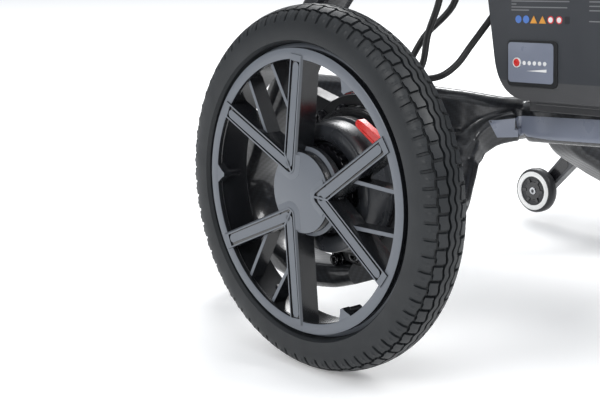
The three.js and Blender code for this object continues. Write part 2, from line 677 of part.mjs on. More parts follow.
function handle() {
  const bar = sweep([
    [-125, -120, -14, 10, 9], [-125, -60, -6, 11, 10], [-112, -14, 0, 12, 10], [-70, 0, 2, 13, 11],
    [0, 2, 2, 14, 12], [70, 0, 2, 13, 11], [112, -14, 0, 12, 10], [125, -60, -6, 11, 10],
    [125, -120, -14, 10, 9],
  ], SIDE_Z, 24, 0.7);
  const boss = rodX(-15.6, 15.6, 19, 0, 0);
  const shelf = block(-20, 20, -60, -5, 1, 9);
  add('handle_bar', cut(
    placeAtHandle(join(bar, boss, shelf)), straightTube(mastSlope, 24, mastLength + gap, 16 + gap, 20 + gap),
  ), colours.carbon, 0.3);
  const sleeve = sweep([[125, -136, -17, 15, 14], [125, -62, -6.4, 15.5, 14.5]], SIDE_Z, 1, 0.8, 3);
  const core = sweep([[125, -122, -14, 12, 11], [125, -50, -4.6, 13, 12]], SIDE_Z, 1);
  addPair('grip', placeAtHandle(cut(sleeve, core)), colours.black, 0.8);
  const outline = polygon([[-96, 9.4], [-92, 36], [-22, 30], [-12, 20], [-12, 14.6], [-20, 9.4]]);
  const body = extrudeX(outline, -52, 52, 2);
  const seat = rodZ(30, 50, dialRadius + 2 * gap, 0, dialY);
  add('console', placeAtHandle(cut(body, tipped(seat))), colours.black, 0.4);
  add('speed_dial', placeAtHandle(tipped(join(
    rodZ(30 + gap, 42, dialRadius - 0.5, 0, dialY), rodZ(30 + gap, 34, dialRadius, 0, dialY),
  ))), colours.aluminium, 0.3, 0.9);
}

// The console's top leans towards the user, and so does its dial.
function tipped(geometry) {
  return geometry.rotateX(-0.085).translate(0, 0, -6.5);
}

driveWheels();
driveUnits();
frame();
antiTip();
battery();
cables();
frontCaster();
mast();
bagSupports();
handle();

// The finished trolley stands on the floor with the middle of its overall box over the origin.
const trolley = new THREE.Group();
trolley.add(object);
const middle = new THREE.Box3().setFromObject(object).getCenter(vec());
object.position.set(-middle.x, -middle.y, 0);

export default trolley;
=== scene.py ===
import json
import math

import bmesh
import bpy
from mathutils import Matrix, Vector
from mathutils.bvhtree import BVHTree


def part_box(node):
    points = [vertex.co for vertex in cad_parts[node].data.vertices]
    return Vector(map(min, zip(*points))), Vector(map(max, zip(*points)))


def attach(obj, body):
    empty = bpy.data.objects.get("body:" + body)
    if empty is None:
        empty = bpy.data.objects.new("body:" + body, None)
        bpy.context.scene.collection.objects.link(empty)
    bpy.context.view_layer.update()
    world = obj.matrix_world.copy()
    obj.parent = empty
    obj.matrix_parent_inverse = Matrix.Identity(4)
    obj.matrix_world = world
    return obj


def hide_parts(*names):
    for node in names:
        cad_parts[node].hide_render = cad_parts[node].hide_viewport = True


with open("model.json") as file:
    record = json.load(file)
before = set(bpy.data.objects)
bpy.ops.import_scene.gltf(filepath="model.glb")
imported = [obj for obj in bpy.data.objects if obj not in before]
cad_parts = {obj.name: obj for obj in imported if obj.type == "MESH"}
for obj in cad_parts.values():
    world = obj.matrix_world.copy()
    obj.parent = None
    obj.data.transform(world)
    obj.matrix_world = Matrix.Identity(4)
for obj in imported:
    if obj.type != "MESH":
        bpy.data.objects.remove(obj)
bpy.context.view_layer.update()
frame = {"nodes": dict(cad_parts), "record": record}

MM = 0.001
tyre_low, tyre_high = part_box("tyre_right")
AXLE_Y = (tyre_low.y + tyre_high.y) / 2
SIDES = ("right", "left")

# ---------- driving sizes, as in the CAD ----------
WHEEL_RADIUS = 135
TYRE_X = 285
MOTOR = (-25.7, 109.3)
LEVER_PIVOT = (50, 172)
LEVER_TIP = (26, 185)
HINGE = (66, 519)
MAST_SLOPE = math.radians(125)
TUBE_SLOPE = math.radians(135)
ROLLER = (-191.5, 34)
ARM_PIVOT = (-148, 82)
BATTERY_HALF = 75
BATTERY_BASE = 181.5
BATTERY_TILT = math.radians(2.5)
BUTTON = (10.6, 31)
FRONT_WHEEL = (487, 80)
CASTER_Y = 525
BAG_CENTRE = 128
BAG_RADIUS = 112


def at(x, y, z):
    return Vector((x * MM, AXLE_Y + y * MM, z * MM))


# ---------- camera, light and floor ----------
def make_camera():
    data = bpy.data.cameras.new("camera")
    data.sensor_width = 36
    data.lens = 79.6
    data.clip_start = 0.01
    camera = bpy.data.objects.new("camera", data)
    bpy.context.scene.collection.objects.link(camera)
    look = Vector((-0.6430, -0.7345, -0.2170)).normalized()
    right = look.cross(Vector((0, 0, 1))).normalized()
    up = right.cross(look)
    turn = Matrix((right, up, -look)).transposed().to_4x4()
    camera.matrix_world = Matrix.Translation(at(921.6, 706, 338.3)) @ turn
    bpy.context.scene.camera = camera


def area_light(name, place, target, size, power):
    data = bpy.data.lights.new(name, "AREA")
    data.shape = "DISK"
    data.size = size
    data.energy = power
    light = bpy.data.objects.new(name, data)
    bpy.context.scene.collection.objects.link(light)
    light.location = place
    light.rotation_euler = (Vector(target) - Vector(place)).to_track_quat("-Z", "Y").to_euler()


def make_world():
    """White to the eye; as light it is bright overhead and dim near the horizon."""
    world = bpy.data.worlds.new("studio")
    bpy.context.scene.world = world
    world.use_nodes = True
    nodes, links = world.node_tree.nodes, world.node_tree.links
    plain = nodes["Background"]
    plain.inputs["Color"].default_value = (1, 1, 1, 1)
    plain.inputs["Strength"].default_value = 1.0
    sky = nodes.new("ShaderNodeBackground")
    coords = nodes.new("ShaderNodeTexCoord")
    split = nodes.new("ShaderNodeSeparateXYZ")
    links.new(coords.outputs["Generated"], split.inputs[0])
    climb = nodes.new("ShaderNodeMapRange")
    climb.inputs["From Min"].default_value = -0.05
    climb.inputs["From Max"].default_value = 0.9
    climb.inputs["To Min"].default_value = 0.16
    climb.inputs["To Max"].default_value = 0.95
    links.new(split.outputs["Z"], climb.inputs["Value"])
    links.new(climb.outputs["Result"], sky.inputs["Strength"])
    sky.inputs["Color"].default_value = (0.93, 0.96, 1.0, 1)
    eye = nodes.new("ShaderNodeLightPath")
    mix = nodes.new("ShaderNodeMixShader")
    links.new(eye.outputs["Is Camera Ray"], mix.inputs["Fac"])
    links.new(sky.outputs[0], mix.inputs[1])
    links.new(plain.outputs[0], mix.inputs[2])
    links.new(mix.outputs[0], nodes["World Output"].inputs["Surface"])
    bpy.context.scene.view_settings.view_transform = "Standard"


def make_floor():
    mesh = bpy.data.meshes.new("floor")
    reach = 30
    mesh.from_pydata([(-reach, -reach, 0), (reach, -reach, 0), (reach, reach, 0), (-reach, reach, 0)],
                     [], [(0, 1, 2, 3)])
    floor = bpy.data.objects.new("floor", mesh)
    floor.location.z = -0.0005
    bpy.context.scene.collection.objects.link(floor)
    paint = Look("floor_paint", (0.9, 0.9, 0.9), 0.9, {
        "Specular IOR Level": 0.0, "Emission Color": (1, 1, 1, 1), "Emission Strength": 0.22})
    mesh.materials.append(paint.material)


# ---------- materials ----------
class Look:
    """One node material, with short calls for the nodes that feed its shader."""

    def __init__(self, name, colour, roughness, sockets=None):
        self.material = bpy.data.materials.new(name)
        self.material.use_nodes = True
        self.nodes = self.material.node_tree.nodes
        self.links = self.material.node_tree.links
        self.shader = self.nodes["Principled BSDF"]
        self.shader.inputs["Base Color"].default_value = (*colour, 1)
        self.shader.inputs["Roughness"].default_value = roughness
        for key, value in (sockets or {}).items():
            self.shader.inputs[key].default_value = value
        self.coords = self.nodes.new("ShaderNodeTexCoord")

    def join(self, source, socket):
        self.links.new(source, socket)

    def math(self, operation, a, b=0.0):
        node = self.nodes.new("ShaderNodeMath")
        node.operation = operation
        for socket, value in zip(node.inputs, (a, b)):
            if isinstance(value, (int, float)):
                socket.default_value = value
            else:
                self.join(value, socket)
        return node.outputs[0]

    def blend(self, share, a, b):
        return self.math("ADD", a, self.math("MULTIPLY", share, self.math("SUBTRACT", b, a)))

    def noise(self, scale, detail=3, stretch=(1, 1, 1)):
        place = self.nodes.new("ShaderNodeMapping")
        place.inputs["Scale"].default_value = stretch
        self.join(self.coords.outputs["Object"], place.inputs["Vector"])
        node = self.nodes.new("ShaderNodeTexNoise")
        node.inputs["Scale"].default_value = scale
        node.inputs["Detail"].default_value = detail
        self.join(place.outputs[0], node.inputs["Vector"])
        return node.outputs["Fac"]

    def ramp(self, value, low, high, start=0.35, end=0.65):
        node = self.nodes.new("ShaderNodeMapRange")
        node.inputs["From Min"].default_value = start
        node.inputs["From Max"].default_value = end
        node.inputs["To Min"].default_value = low
        node.inputs["To Max"].default_value = high
        self.join(value, node.inputs["Value"])
        return node.outputs["Result"]

    def tint(self, value, first, second):
        node = self.nodes.new("ShaderNodeMix")
        node.data_type = "RGBA"
        node.inputs[6].default_value = (*first, 1)
        node.inputs[7].default_value = (*second, 1)
        self.join(value, node.inputs[0])
        self.join(node.outputs[2], self.shader.inputs["Base Color"])

    def bump(self, height, strength, distance):
        node = self.nodes.new("ShaderNodeBump")
        node.inputs["Strength"].default_value = strength
        node.inputs["Distance"].default_value = distance
        self.join(height, node.inputs["Height"])
        self.join(node.outputs["Normal"], self.shader.inputs["Normal"])


def moulded(name, colour, roughness, grain=900, depth=0.05, spread=0.12, stretch=(1, 1, 1), sockets=None):
    """Paint, plastic, rubber or metal: cloudy colour, uneven gloss and a fine surface grain."""
    look = Look(name, colour, roughness, sockets)
    cloud = look.noise(22)
    look.tint(look.ramp(cloud, 0, 1), tuple(c * (1 - spread) for c in colour),
              tuple(min(1, c * (1 + spread)) for c in colour))
    patches = look.noise(60, 4, stretch)
    look.join(look.ramp(patches, max(0.03, roughness - 0.05), roughness + 0.06),
              look.shader.inputs["Roughness"])
    look.bump(look.noise(grain, 2, stretch), depth * 6, 0.0002)
    return look.material


def carbon(name):
    """Twill weave under clear lacquer, laid on each face along the axes that lie in it."""
    look = Look(name, (0.02, 0.021, 0.024), 0.3, {
        "Coat Weight": 0.8, "Coat Roughness": 0.1, "Specular IOR Level": 0.35})
    place = look.nodes.new("ShaderNodeSeparateXYZ")
    facing = look.nodes.new("ShaderNodeSeparateXYZ")
    look.join(look.coords.outputs["Object"], place.inputs[0])
    look.join(look.coords.outputs["Normal"], facing.inputs[0])
    nx, ny, nz = (look.math("ABSOLUTE", facing.outputs[i]) for i in range(3))
    sideways = look.math("GREATER_THAN", nx, ny)
    upward = look.math("GREATER_THAN", nz, look.math("MAXIMUM", nx, ny))
    x, y, z = (place.outputs[i] for i in range(3))
    u = look.blend(upward, look.blend(sideways, x, y), x)
    v = look.blend(upward, z, y)
    tow = 0.0019
    across = look.math("DIVIDE", u, tow)
    along = look.math("DIVIDE", v, tow)
    cell = look.math("ADD", look.math("FLOOR", across), look.math("FLOOR", along))
    over = look.math("LESS_THAN", look.math("FRACT", look.math("DIVIDE", cell, 4.0)), 0.49)
    warp = look.math("PINGPONG", across, 0.5)
    weft = look.math("PINGPONG", along, 0.5)
    height = look.blend(over, warp, weft)
    shade = look.math("ADD", look.math("MULTIPLY", over, 0.55), look.math("MULTIPLY", height, 0.7))
    look.tint(shade, (0.007, 0.0075, 0.009), (0.023, 0.025, 0.03))
    look.join(look.blend(over, 0.4, 0.28), look.shader.inputs["Roughness"])
    look.bump(height, 0.15, 0.0002)
    return look.material


def wheel_paint(name):
    """Satin blue-grey on the faces that look outward along the axle, gloss black on all others."""
    look = Look(name, (0.12, 0.13, 0.15), 0.4, {"Specular IOR Level": 0.5})
    facing = look.nodes.new("ShaderNodeSeparateXYZ")
    look.join(look.coords.outputs["Normal"], facing.inputs[0])
    outward = look.math("ABSOLUTE", facing.outputs[0])
    share = look.ramp(outward, 0, 1, 0.5, 0.72)
    look.tint(share, (0.011, 0.012, 0.014), (0.118, 0.13, 0.15))
    cloud = look.ramp(look.noise(60, 4), -0.03, 0.03)
    look.join(look.math("ADD", look.blend(share, 0.2, 0.4), cloud), look.shader.inputs["Roughness"])
    look.bump(look.noise(1600, 2), 0.12, 0.0002)
    return look.material


def battery_plastic(name):
    """Fine-textured plastic, a little lighter below the panel's lower edge."""
    look = Look(name, (0.06, 0.063, 0.07), 0.42)
    place = look.nodes.new("ShaderNodeSeparateXYZ")
    look.join(look.coords.outputs["Object"], place.inputs[0])
    tilt = look.math("MULTIPLY", look.math("SUBTRACT", place.outputs[1], AXLE_Y), math.tan(BATTERY_TILT))
    level = look.math("SUBTRACT", look.math("SUBTRACT", place.outputs[2], tilt), (BATTERY_BASE + 16) * MM)
    look.tint(look.ramp(level, 1, 0, -0.0003, 0.0003), (0.052, 0.056, 0.064), (0.085, 0.086, 0.09))
    look.join(look.ramp(look.noise(80), 0.38, 0.48), look.shader.inputs["Roughness"])
    look.bump(look.noise(1500, 2), 0.25, 0.0002)
    return look.material


def make_materials():
    metal = {"Metallic": 1.0}
    lacquer = {"Coat Weight": 0.5, "Coat Roughness": 0.15}
    return {
        "tyre": moulded("tyre", (0.012, 0.014, 0.016), 0.48, 700, 0.06, sockets={"Specular IOR Level": 0.4}),
        "rim_paint": wheel_paint("rim_paint"),
        "gloss_black": moulded("gloss_black", (0.008, 0.008, 0.01), 0.16, 600, 0.01, sockets=lacquer),
        "steel": moulded("steel", (0.6, 0.61, 0.63), 0.26, 500, 0.06, 0.06, (1, 12, 12), metal),
        "brass": moulded("brass", (0.62, 0.45, 0.2), 0.3, 500, 0.05, 0.06, (1, 10, 10), metal),
        "black_casting": moulded("black_casting", (0.012, 0.0125, 0.014), 0.34, 1100, 0.12,
                                 sockets={"Specular IOR Level": 0.45}),
        "cover_paint": moulded("cover_paint", (0.022, 0.024, 0.028), 0.3, 1300, 0.04, 0.08),
        "red_plastic": moulded("red_plastic", (0.72, 0.035, 0.03), 0.3, 900, 0.03, 0.08, sockets=lacquer),
        "carbon": carbon("carbon"),
        "grey_metal": moulded("grey_metal", (0.085, 0.087, 0.093), 0.4, 1200, 0.08, 0.08),
        "roller_rubber": moulded("roller_rubber", (0.02, 0.021, 0.024), 0.42, 900, 0.06),
        "battery_plastic": battery_plastic("battery_plastic"),
        "panel": moulded("panel", (0.235, 0.26, 0.33), 0.32, 1500, 0.02, 0.05, sockets=lacquer),
        "cable_rubber": moulded("cable_rubber", (0.012, 0.012, 0.013), 0.38, 1000, 0.04),
        "grip_rubber": moulded("grip_rubber", (0.015, 0.015, 0.016), 0.62, 1600, 0.25),
        "aluminium": moulded("aluminium", (0.7, 0.71, 0.73), 0.28, 500, 0.05, 0.05, (12, 12, 1), metal),
        "black_plastic": moulded("black_plastic", (0.016, 0.017, 0.019), 0.42, 1300, 0.12),
        "white_trim": moulded("white_trim", (0.86, 0.86, 0.85), 0.35, 900, 0.02, 0.02),
    }


# ---------- mesh helpers: each returns (points, faces) ----------
def mirrored(parts):
    return [([Vector((-p.x, p.y, p.z)) for p in points], faces) for points, faces in parts]


def lathe(profile, y, z, segments=96, hexagon=()):
    """Turns (radius, x) points about an X axis; the profile closes on itself or ends on the axis.
    Profile indices in hexagon get a six-sided outline."""
    points, faces, n = [], [], len(profile)
    for i in range(segments):
        a = 2 * math.pi * i / segments
        wedge = math.cos(math.radians(30)) / math.cos((a % (math.pi / 3)) - math.pi / 6)
        for j, (radius, x) in enumerate(profile):
            r = radius * (wedge if j in hexagon else 1)
            points.append(at(x, y + r * math.cos(a), z + r * math.sin(a)))
    for i in range(segments):
        k = (i + 1) % segments
        for j in range(n):
            m = (j + 1) % n
            faces.append((i * n + j, i * n + m, k * n + m, k * n + j))
    return points, faces


def rod(x0, x1, radius, y, z, segments=40, chamfer=0.6):
    c = chamfer if x1 > x0 else -chamfer
    return lathe([(0, x0), (radius - abs(c), x0), (radius, x0 + c), (radius, x1 - c),
                  (radius - abs(c), x1), (0, x1)], y, z, segments)


def prism(outline, x0, x1):
    n = len(outline)
    points = [at(x0, y, z) for y, z in outline] + [at(x1, y, z) for y, z in outline]
    faces = [tuple(range(n)), tuple(range(2 * n - 1, n - 1, -1))]
    faces += [(i, (i + 1) % n, n + (i + 1) % n, n + i) for i in range(n)]
    return points, faces


def band(outer, inner, x0, x1):
    """A flat ring between two outlines with as many points."""
    n = len(outer)
    points = [at(x, y, z) for x in (x0, x1) for line in (outer, inner) for y, z in line]
    faces = []
    for i in range(n):
        k = (i + 1) % n
        faces += [(i, k, n + k, n + i), (2 * n + i, 2 * n + k, 3 * n + k, 3 * n + i),
                  (i, k, 2 * n + k, 2 * n + i), (n + i, n + k, 3 * n + k, 3 * n + i)]
    return points, faces


def arc(y, z, radius, start, end, count=8):
    return [(y + radius * math.cos(math.radians(start + (end - start) * i / count)),
             z + radius * math.sin(math.radians(start + (end - start) * i / count)))
            for i in range(count + 1)]


def rounded(y0, y1, z0, z1, radius, count=6):
    return (arc(y1 - radius, z0 + radius, radius, -90, 0, count) + arc(y1 - radius, z1 - radius, radius, 0,
                                                                       90, count)
            + arc(y0 + radius, z1 - radius, radius, 90, 180, count)
            + arc(y0 + radius, z0 + radius, radius, 180, 270, count))


def link(y0, z0, r0, y1, z1, r1, count=14):
    """Outline of a bar with round ends."""
    angle = math.degrees(math.atan2(z1 - z0, y1 - y0))
    lean = math.degrees(math.acos((r0 - r1) / math.hypot(y1 - y0, z1 - z0)))
    return (arc(y0, z0, r0, angle + lean, angle - lean + 360, count)
            + arc(y1, z1, r1, angle - lean, angle + lean, count))


def curve_point(points, t):
    """Centripetal Catmull-Rom point, as the CAD's paths use."""
    place = t * (len(points) - 1)
    k = min(int(place), len(points) - 2)
    w = place - k
    p1, p2 = points[k], points[k + 1]
    p0 = points[k - 1] if k > 0 else 2 * p1 - p2
    p3 = points[k + 2] if k + 2 < len(points) else 2 * p2 - p1
    d0, d1, d2 = (max((b - a).length, 1e-9) ** 0.5 for a, b in ((p0, p1), (p1, p2), (p2, p3)))
    m1 = ((p1 - p0) / d0 - (p2 - p0) / (d0 + d1) + (p2 - p1) / d1) * d1
    m2 = ((p2 - p1) / d1 - (p3 - p1) / (d1 + d2) + (p3 - p2) / d2) * d1
    return p1 + m1 * w + (3 * (p2 - p1) - 2 * m1 - m2) * w ** 2 + (2 * (p1 - p2) + m1 + m2) * w ** 3


def rounded_section(half_side, half_up, corner, count=4):
    return rounded(-half_side, half_side, -half_up, half_up, corner, count)


def sweep(path, side, steps, corner=4.0, section=rounded_section):
    """Sweeps a section along a path of [x, y, z, half size along side, half size across it]."""
    places = [at(x, y, z) for x, y, z, _, _ in path]
    points, faces, n = [], [], 0
    for i in range(steps + 1):
        t = i / steps
        place = t * (len(path) - 1)
        k = min(int(place), len(path) - 2)
        half_side, half_up = (path[k][j] + (path[k + 1][j] - path[k][j]) * (place - k) for j in (3, 4))
        centre = curve_point(places, t)
        ahead = curve_point(places, min(1, t + 1e-4)) - curve_point(places, max(0, t - 1e-4))
        ahead.normalize()
        a = (side - ahead * side.dot(ahead)).normalized()
        b = ahead.cross(a)
        ring = section(half_side, half_up, min(corner, half_side * 0.95, half_up * 0.95))
        n = len(ring)
        points += [centre + a * (u * MM) + b * (v * MM) for u, v in ring]
    for i in range(steps):
        for j in range(n):
            k = (j + 1) % n
            faces.append((i * n + j, i * n + k, (i + 1) * n + k, (i + 1) * n + j))
    faces += [tuple(range(n)), tuple(range((steps + 1) * n - 1, steps * n - 1, -1))]
    return points, faces


def along_slope(slope, along, across):
    """(y, z) measured from the fold axis: along a slope, and across it towards the bag."""
    return (HINGE[0] + along * math.cos(slope) + across * math.sin(slope),
            HINGE[1] + along * math.sin(slope) - across * math.cos(slope))


def placed_on_slope(parts, slope, along):
    """Parts drawn with x right, y away from the tube and z along it, moved onto a sloping tube."""
    y, z = along_slope(slope, along, 0)
    c, s = math.cos(slope), math.sin(slope)
    result = []
    for points, faces in parts:
        turned = []
        for p in points:
            u, w = (p.y - AXLE_Y) / MM, p.z / MM
            turned.append(at(p.x / MM, y + u * s + w * c, z - u * c + w * s))
        result.append((turned, faces))
    return result


def turned_z(parts):
    """Parts drawn as prisms along X, turned so that they extrude along Z: (x, y, z) becomes (y, z, x)."""
    return [([at((p.y - AXLE_Y) / MM, p.z / MM, p.x / MM) for p in points], faces) for points, faces in parts]


# ---------- pieces ----------
def piece(name, parts, body, slot, stands_for=(), bevel=0.0, segments=2, sharp=38):
    mesh = bpy.data.meshes.new(name)
    bm = bmesh.new()
    for points, faces in parts:
        corners = [bm.verts.new(p) for p in points]
        for face in faces:
            bm.faces.new([corners[i] for i in face])
    bmesh.ops.remove_doubles(bm, verts=bm.verts, dist=2e-6)
    bmesh.ops.recalc_face_normals(bm, faces=bm.faces)
    bm.to_mesh(mesh)
    bm.free()
    obj = bpy.data.objects.new(name, mesh)
    bpy.context.scene.collection.objects.link(obj)
    smooth_faces(mesh, sharp)
    if bevel:
        add_bevel(obj, bevel, segments)
    mesh.materials.append(MATERIALS[slot])
    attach(obj, body)
    if stands_for:
        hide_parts(*stands_for)
        STOOD_FOR.update(stands_for)
    return obj


def smooth_faces(mesh, sharp):
    mesh.polygons.foreach_set("use_smooth", [True] * len(mesh.polygons))
    mesh.set_sharp_from_angle(angle=math.radians(sharp))


def add_bevel(obj, width, segments):
    bevel = obj.modifiers.new("soft_edges", "BEVEL")
    bevel.width = width * MM
    bevel.segments = segments
    bevel.limit_method = "ANGLE"
    bevel.angle_limit = math.radians(38)
    bevel.harden_normals = True


def pair(name, parts, body, slot, stands_for=(), **style):
    """The right piece and its mirror image; names and bodies get _right or _left."""
    for side in SIDES:
        piece(f"{name}_{side}", parts if side == "right" else mirrored(parts),
              body if body in ("frame", "mast") else f"{body}_{side}", slot,
              [f"{node}_{side}" for node in stands_for], **style)


# ---------- drive wheels ----------
PITCHES = 70
# Places round one tread pitch, as shares of it: the edges of both lateral grooves and points between.
TURNS = (0.07, 0.11, 0.2, 0.3, 0.39, 0.43, 0.57, 0.61, 0.7, 0.8, 0.89, 0.93)
GROOVE_DEPTH = 2.1
# Half of the tread from the crown: (arc length, in a groove, zone, wave height).
TREAD_ROWS = (
    (0.5, True, "rib", 0.9), (0.95, False, "rib", 0.9), (2.8, False, "rib", 0.9), (4.5, False, "rib", 0.8),
    (4.9, True, "rib", 0.8), (6.0, True, "rib", 0.7), (6.4, False, "blocks", 0.6),
    (9.6, False, "blocks", 0.1),
    (12.7, False, "blocks", 0), (13.1, True, "step", 0), (14.1, True, "step", 0),
    (14.5, False, "shoulder", 0),
    (16.3, False, "shoulder", 0), (17.7, False, "stud", 0), (19.0, False, "stud", 0),
    (20.6, False, "shoulder", 0),
    (22.4, False, "shoulder", 0), (23.2, False, "wall", 0), (24.4, False, "wall", 0),
    (26.2, False, "wall", 0),
    (28.2, False, "wall", 0), (30.4, False, "wall", 0), (32.6, False, "wall", 0), (34.6, False, "wall", 0),
    (36.2, False, "wall", 0),
)
TYRE_SECTION = 20
# The bead on the rim's side of the tyre: (radius, distance from the tyre's middle).
BEAD = ((109.6, 18.6), (108.5, 17.0), (108.2, 14.5), (108.1, 11.4), (103.8, 7.2))


def tread_point(row, side, turn):
    """(radius, x) of one tread point; the two halves are half a pitch apart."""
    arc_length, sunk, zone, wave = row
    share = turn if side > 0 else (turn + 0.5) % 1
    near_start = share <= 0.08 or share >= 0.92
    near_middle = 0.42 <= share <= 0.58
    drop = GROOVE_DEPTH if sunk else 0
    if zone == "blocks" and near_middle:
        drop = GROOVE_DEPTH
    if zone in ("shoulder", "stud") and near_start:
        drop = GROOVE_DEPTH * (0.7 if arc_length < 21 else 0.3)
    if zone == "stud" and near_middle:
        drop = -0.4
    if zone in ("step", "shoulder") and arc_length < 15 or arc_length in (12.7,):
        arc_length += 0.45 if share < 0.5 else -0.45
    arc_length += wave * math.sin(2 * math.pi * share)
    angle = arc_length / TYRE_SECTION
    swell = TYRE_SECTION * (1 + 0.07 * math.sin(2 * angle) ** 2) - drop
    return WHEEL_RADIUS - TYRE_SECTION + swell * math.cos(angle), TYRE_X + side * swell * math.sin(angle)


def tyre_parts():
    points, faces = [], []
    right = [("tread", 1, row) for row in TREAD_ROWS] + [("bead", 1, spot) for spot in BEAD]
    left = [("bead", -1, spot) for spot in BEAD[::-1]] + [("tread", -1, row) for row in TREAD_ROWS[::-1]]
    ring = right + left + [("tread", 1, (0.0, True, "rib", 0.9))]
    n = len(ring)
    for pitch in range(PITCHES):
        for turn in TURNS:
            a = 2 * math.pi * (pitch + turn) / PITCHES
            for kind, side, spot in ring:
                if kind == "tread":
                    r, x = tread_point(spot, side, turn)
                else:
                    r, x = spot[0], TYRE_X + side * spot[1]
                points.append(at(x, r * math.cos(a), WHEEL_RADIUS + r * math.sin(a)))
    count = PITCHES * len(TURNS)
    for i in range(count):
        k = (i + 1) % count
        faces += [(i * n + j, i * n + (j + 1) % n, k * n + (j + 1) % n, k * n + j) for j in range(n)]
    return points, faces


def on_wheel(radius, degrees):
    """A point on the wheel face: 0 degrees is rearward, 90 is up."""
    a = math.radians(degrees)
    return (-radius * math.cos(a), WHEEL_RADIUS + radius * math.sin(a))


SPOKE_HALF = 6.5
SPOKE_SPREAD = 28.5
APEX_RADIUS = 21
MIDDLES = (60, 180, 300)


def unit(a, b):
    length = math.hypot(b[0] - a[0], b[1] - a[1])
    return ((b[0] - a[0]) / length, (b[1] - a[1]) / length)


def spoke_outline(middle, inset, reach, inner=None):
    """Outline of a V of two arms that meet in a rounded apex near the hub; inner is the inset of
    the edges inside the V, when it differs."""
    half = SPOKE_HALF - inset
    inside = half if inner is None else SPOKE_HALF - inner
    apex = on_wheel(APEX_RADIUS, middle)
    d1, d2 = (unit(apex, on_wheel(100, middle + way * SPOKE_SPREAD)) for way in (-1, 1))
    arm = (reach - APEX_RADIUS) * ARM_STRETCH
    first, second = ((apex[0] + d[0] * arm, apex[1] + d[1] * arm) for d in (d1, d2))
    out = unit(on_wheel(0, 0), apex)
    side1, side2 = ((-d[1], d[0]) for d in (d1, d2))
    if side1[0] * out[0] + side1[1] * out[1] > 0:
        side1 = (-side1[0], -side1[1])
    if side2[0] * out[0] + side2[1] * out[1] > 0:
        side2 = (-side2[0], -side2[1])
    start = math.degrees(math.atan2(side1[1], side1[0]))
    end = math.degrees(math.atan2(side2[1], side2[0]))
    end = start + (end - start + 180) % 360 - 180
    lean = math.sin(math.acos(min(1, d1[0] * out[0] + d1[1] * out[1])))
    crotch = (apex[0] + out[0] * inside / lean, apex[1] + out[1] * inside / lean)
    shift = lambda p, s, k: (p[0] + s[0] * k, p[1] + s[1] * k)
    return ([shift(first, side1, half)] + arc(*apex, half, start, end, 10) + [shift(second, side2, half),
            shift(second, side2, -inside), crotch, shift(first, side1, -inside)])


def bar(a, b, half, round_end=0):
    """Outline of a straight bar; its far end can be rounded."""
    return link(*a, half, *b, half * 0.98) if round_end else [
        (a[0] - unit(a, b)[1] * half, a[1] + unit(a, b)[0] * half),
        (a[0] + unit(a, b)[1] * half, a[1] - unit(a, b)[0] * half),
        (b[0] + unit(a, b)[1] * half, b[1] - unit(a, b)[0] * half),
        (b[0] - unit(a, b)[1] * half, b[1] + unit(a, b)[0] * half)]


def stack(rings):
    """A solid through outlines with as many points each, given as (outline, x)."""
    n, points, faces = len(rings[0][0]), [], []
    for outline, x in rings:
        points += [at(x, y, z) for y, z in outline]
    for level in range(len(rings) - 1):
        for i in range(n):
            k = (i + 1) % n
            faces.append((level * n + i, level * n + k, (level + 1) * n + k, (level + 1) * n + i))
    last = (len(rings) - 1) * n
    faces += [tuple(range(n)), tuple(range(last + n - 1, last - 1, -1))]
    return points, faces


ARM_STRETCH = 1.04  # an arm leaves the apex at an angle, so it is longer than its reach
HUB_FACE = 303.6
SPOKE_TOP = 305.1


def v_parts(middle):
    """One V of two arms: a grooved face on a deep body, with a slope where it joins the hub."""
    outside = spoke_outline(middle, 0, 100)
    top = spoke_outline(middle, 1.2, 100, 0.5)
    inset = spoke_outline(middle, 2.3, 95.5, 1.5)
    body = stack([(outside, 288), (outside, SPOKE_TOP - 1.5), (top, SPOKE_TOP), (inset, SPOKE_TOP),
                  (inset, SPOKE_TOP - 1.3)])
    strips = []
    for way in (-1, 1):
        apex, tip = on_wheel(APEX_RADIUS + 0.6, middle), on_wheel(91.6, middle + way * (SPOKE_SPREAD - 0.5))
        ahead = unit(apex, tip)
        start = (apex[0] + ahead[0] * 2.4, apex[1] + ahead[1] * 2.4)
        strips.append(prism(link(*start, 3.25, *tip, 3.15, 8), SPOKE_TOP - 1.5, SPOKE_TOP - 0.3))
    ridge = prism(bar(on_wheel(15.8, middle), on_wheel(30.5, middle), 0.8), SPOKE_TOP - 1.5, SPOKE_TOP - 0.05)
    levels = ((-4.0, HUB_FACE - 0.5), (-3.8, HUB_FACE + 0.05), (-1.6, HUB_FACE + 0.4),
              (0.5, SPOKE_TOP - 0.55),
              (2.0, SPOKE_TOP - 0.55), (2.0, HUB_FACE - 0.5))
    slope = stack([(spoke_outline(middle, inset, 31, 2), x) for inset, x in levels])
    blades = [prism(bar(on_wheel(54.6, middle + way * 17.6), on_wheel(99, middle + way * 8.7), 1.4), 288,
                    300.8)
              for way in (-1, 1)]
    return [body, *strips, ridge, slope, *blades]


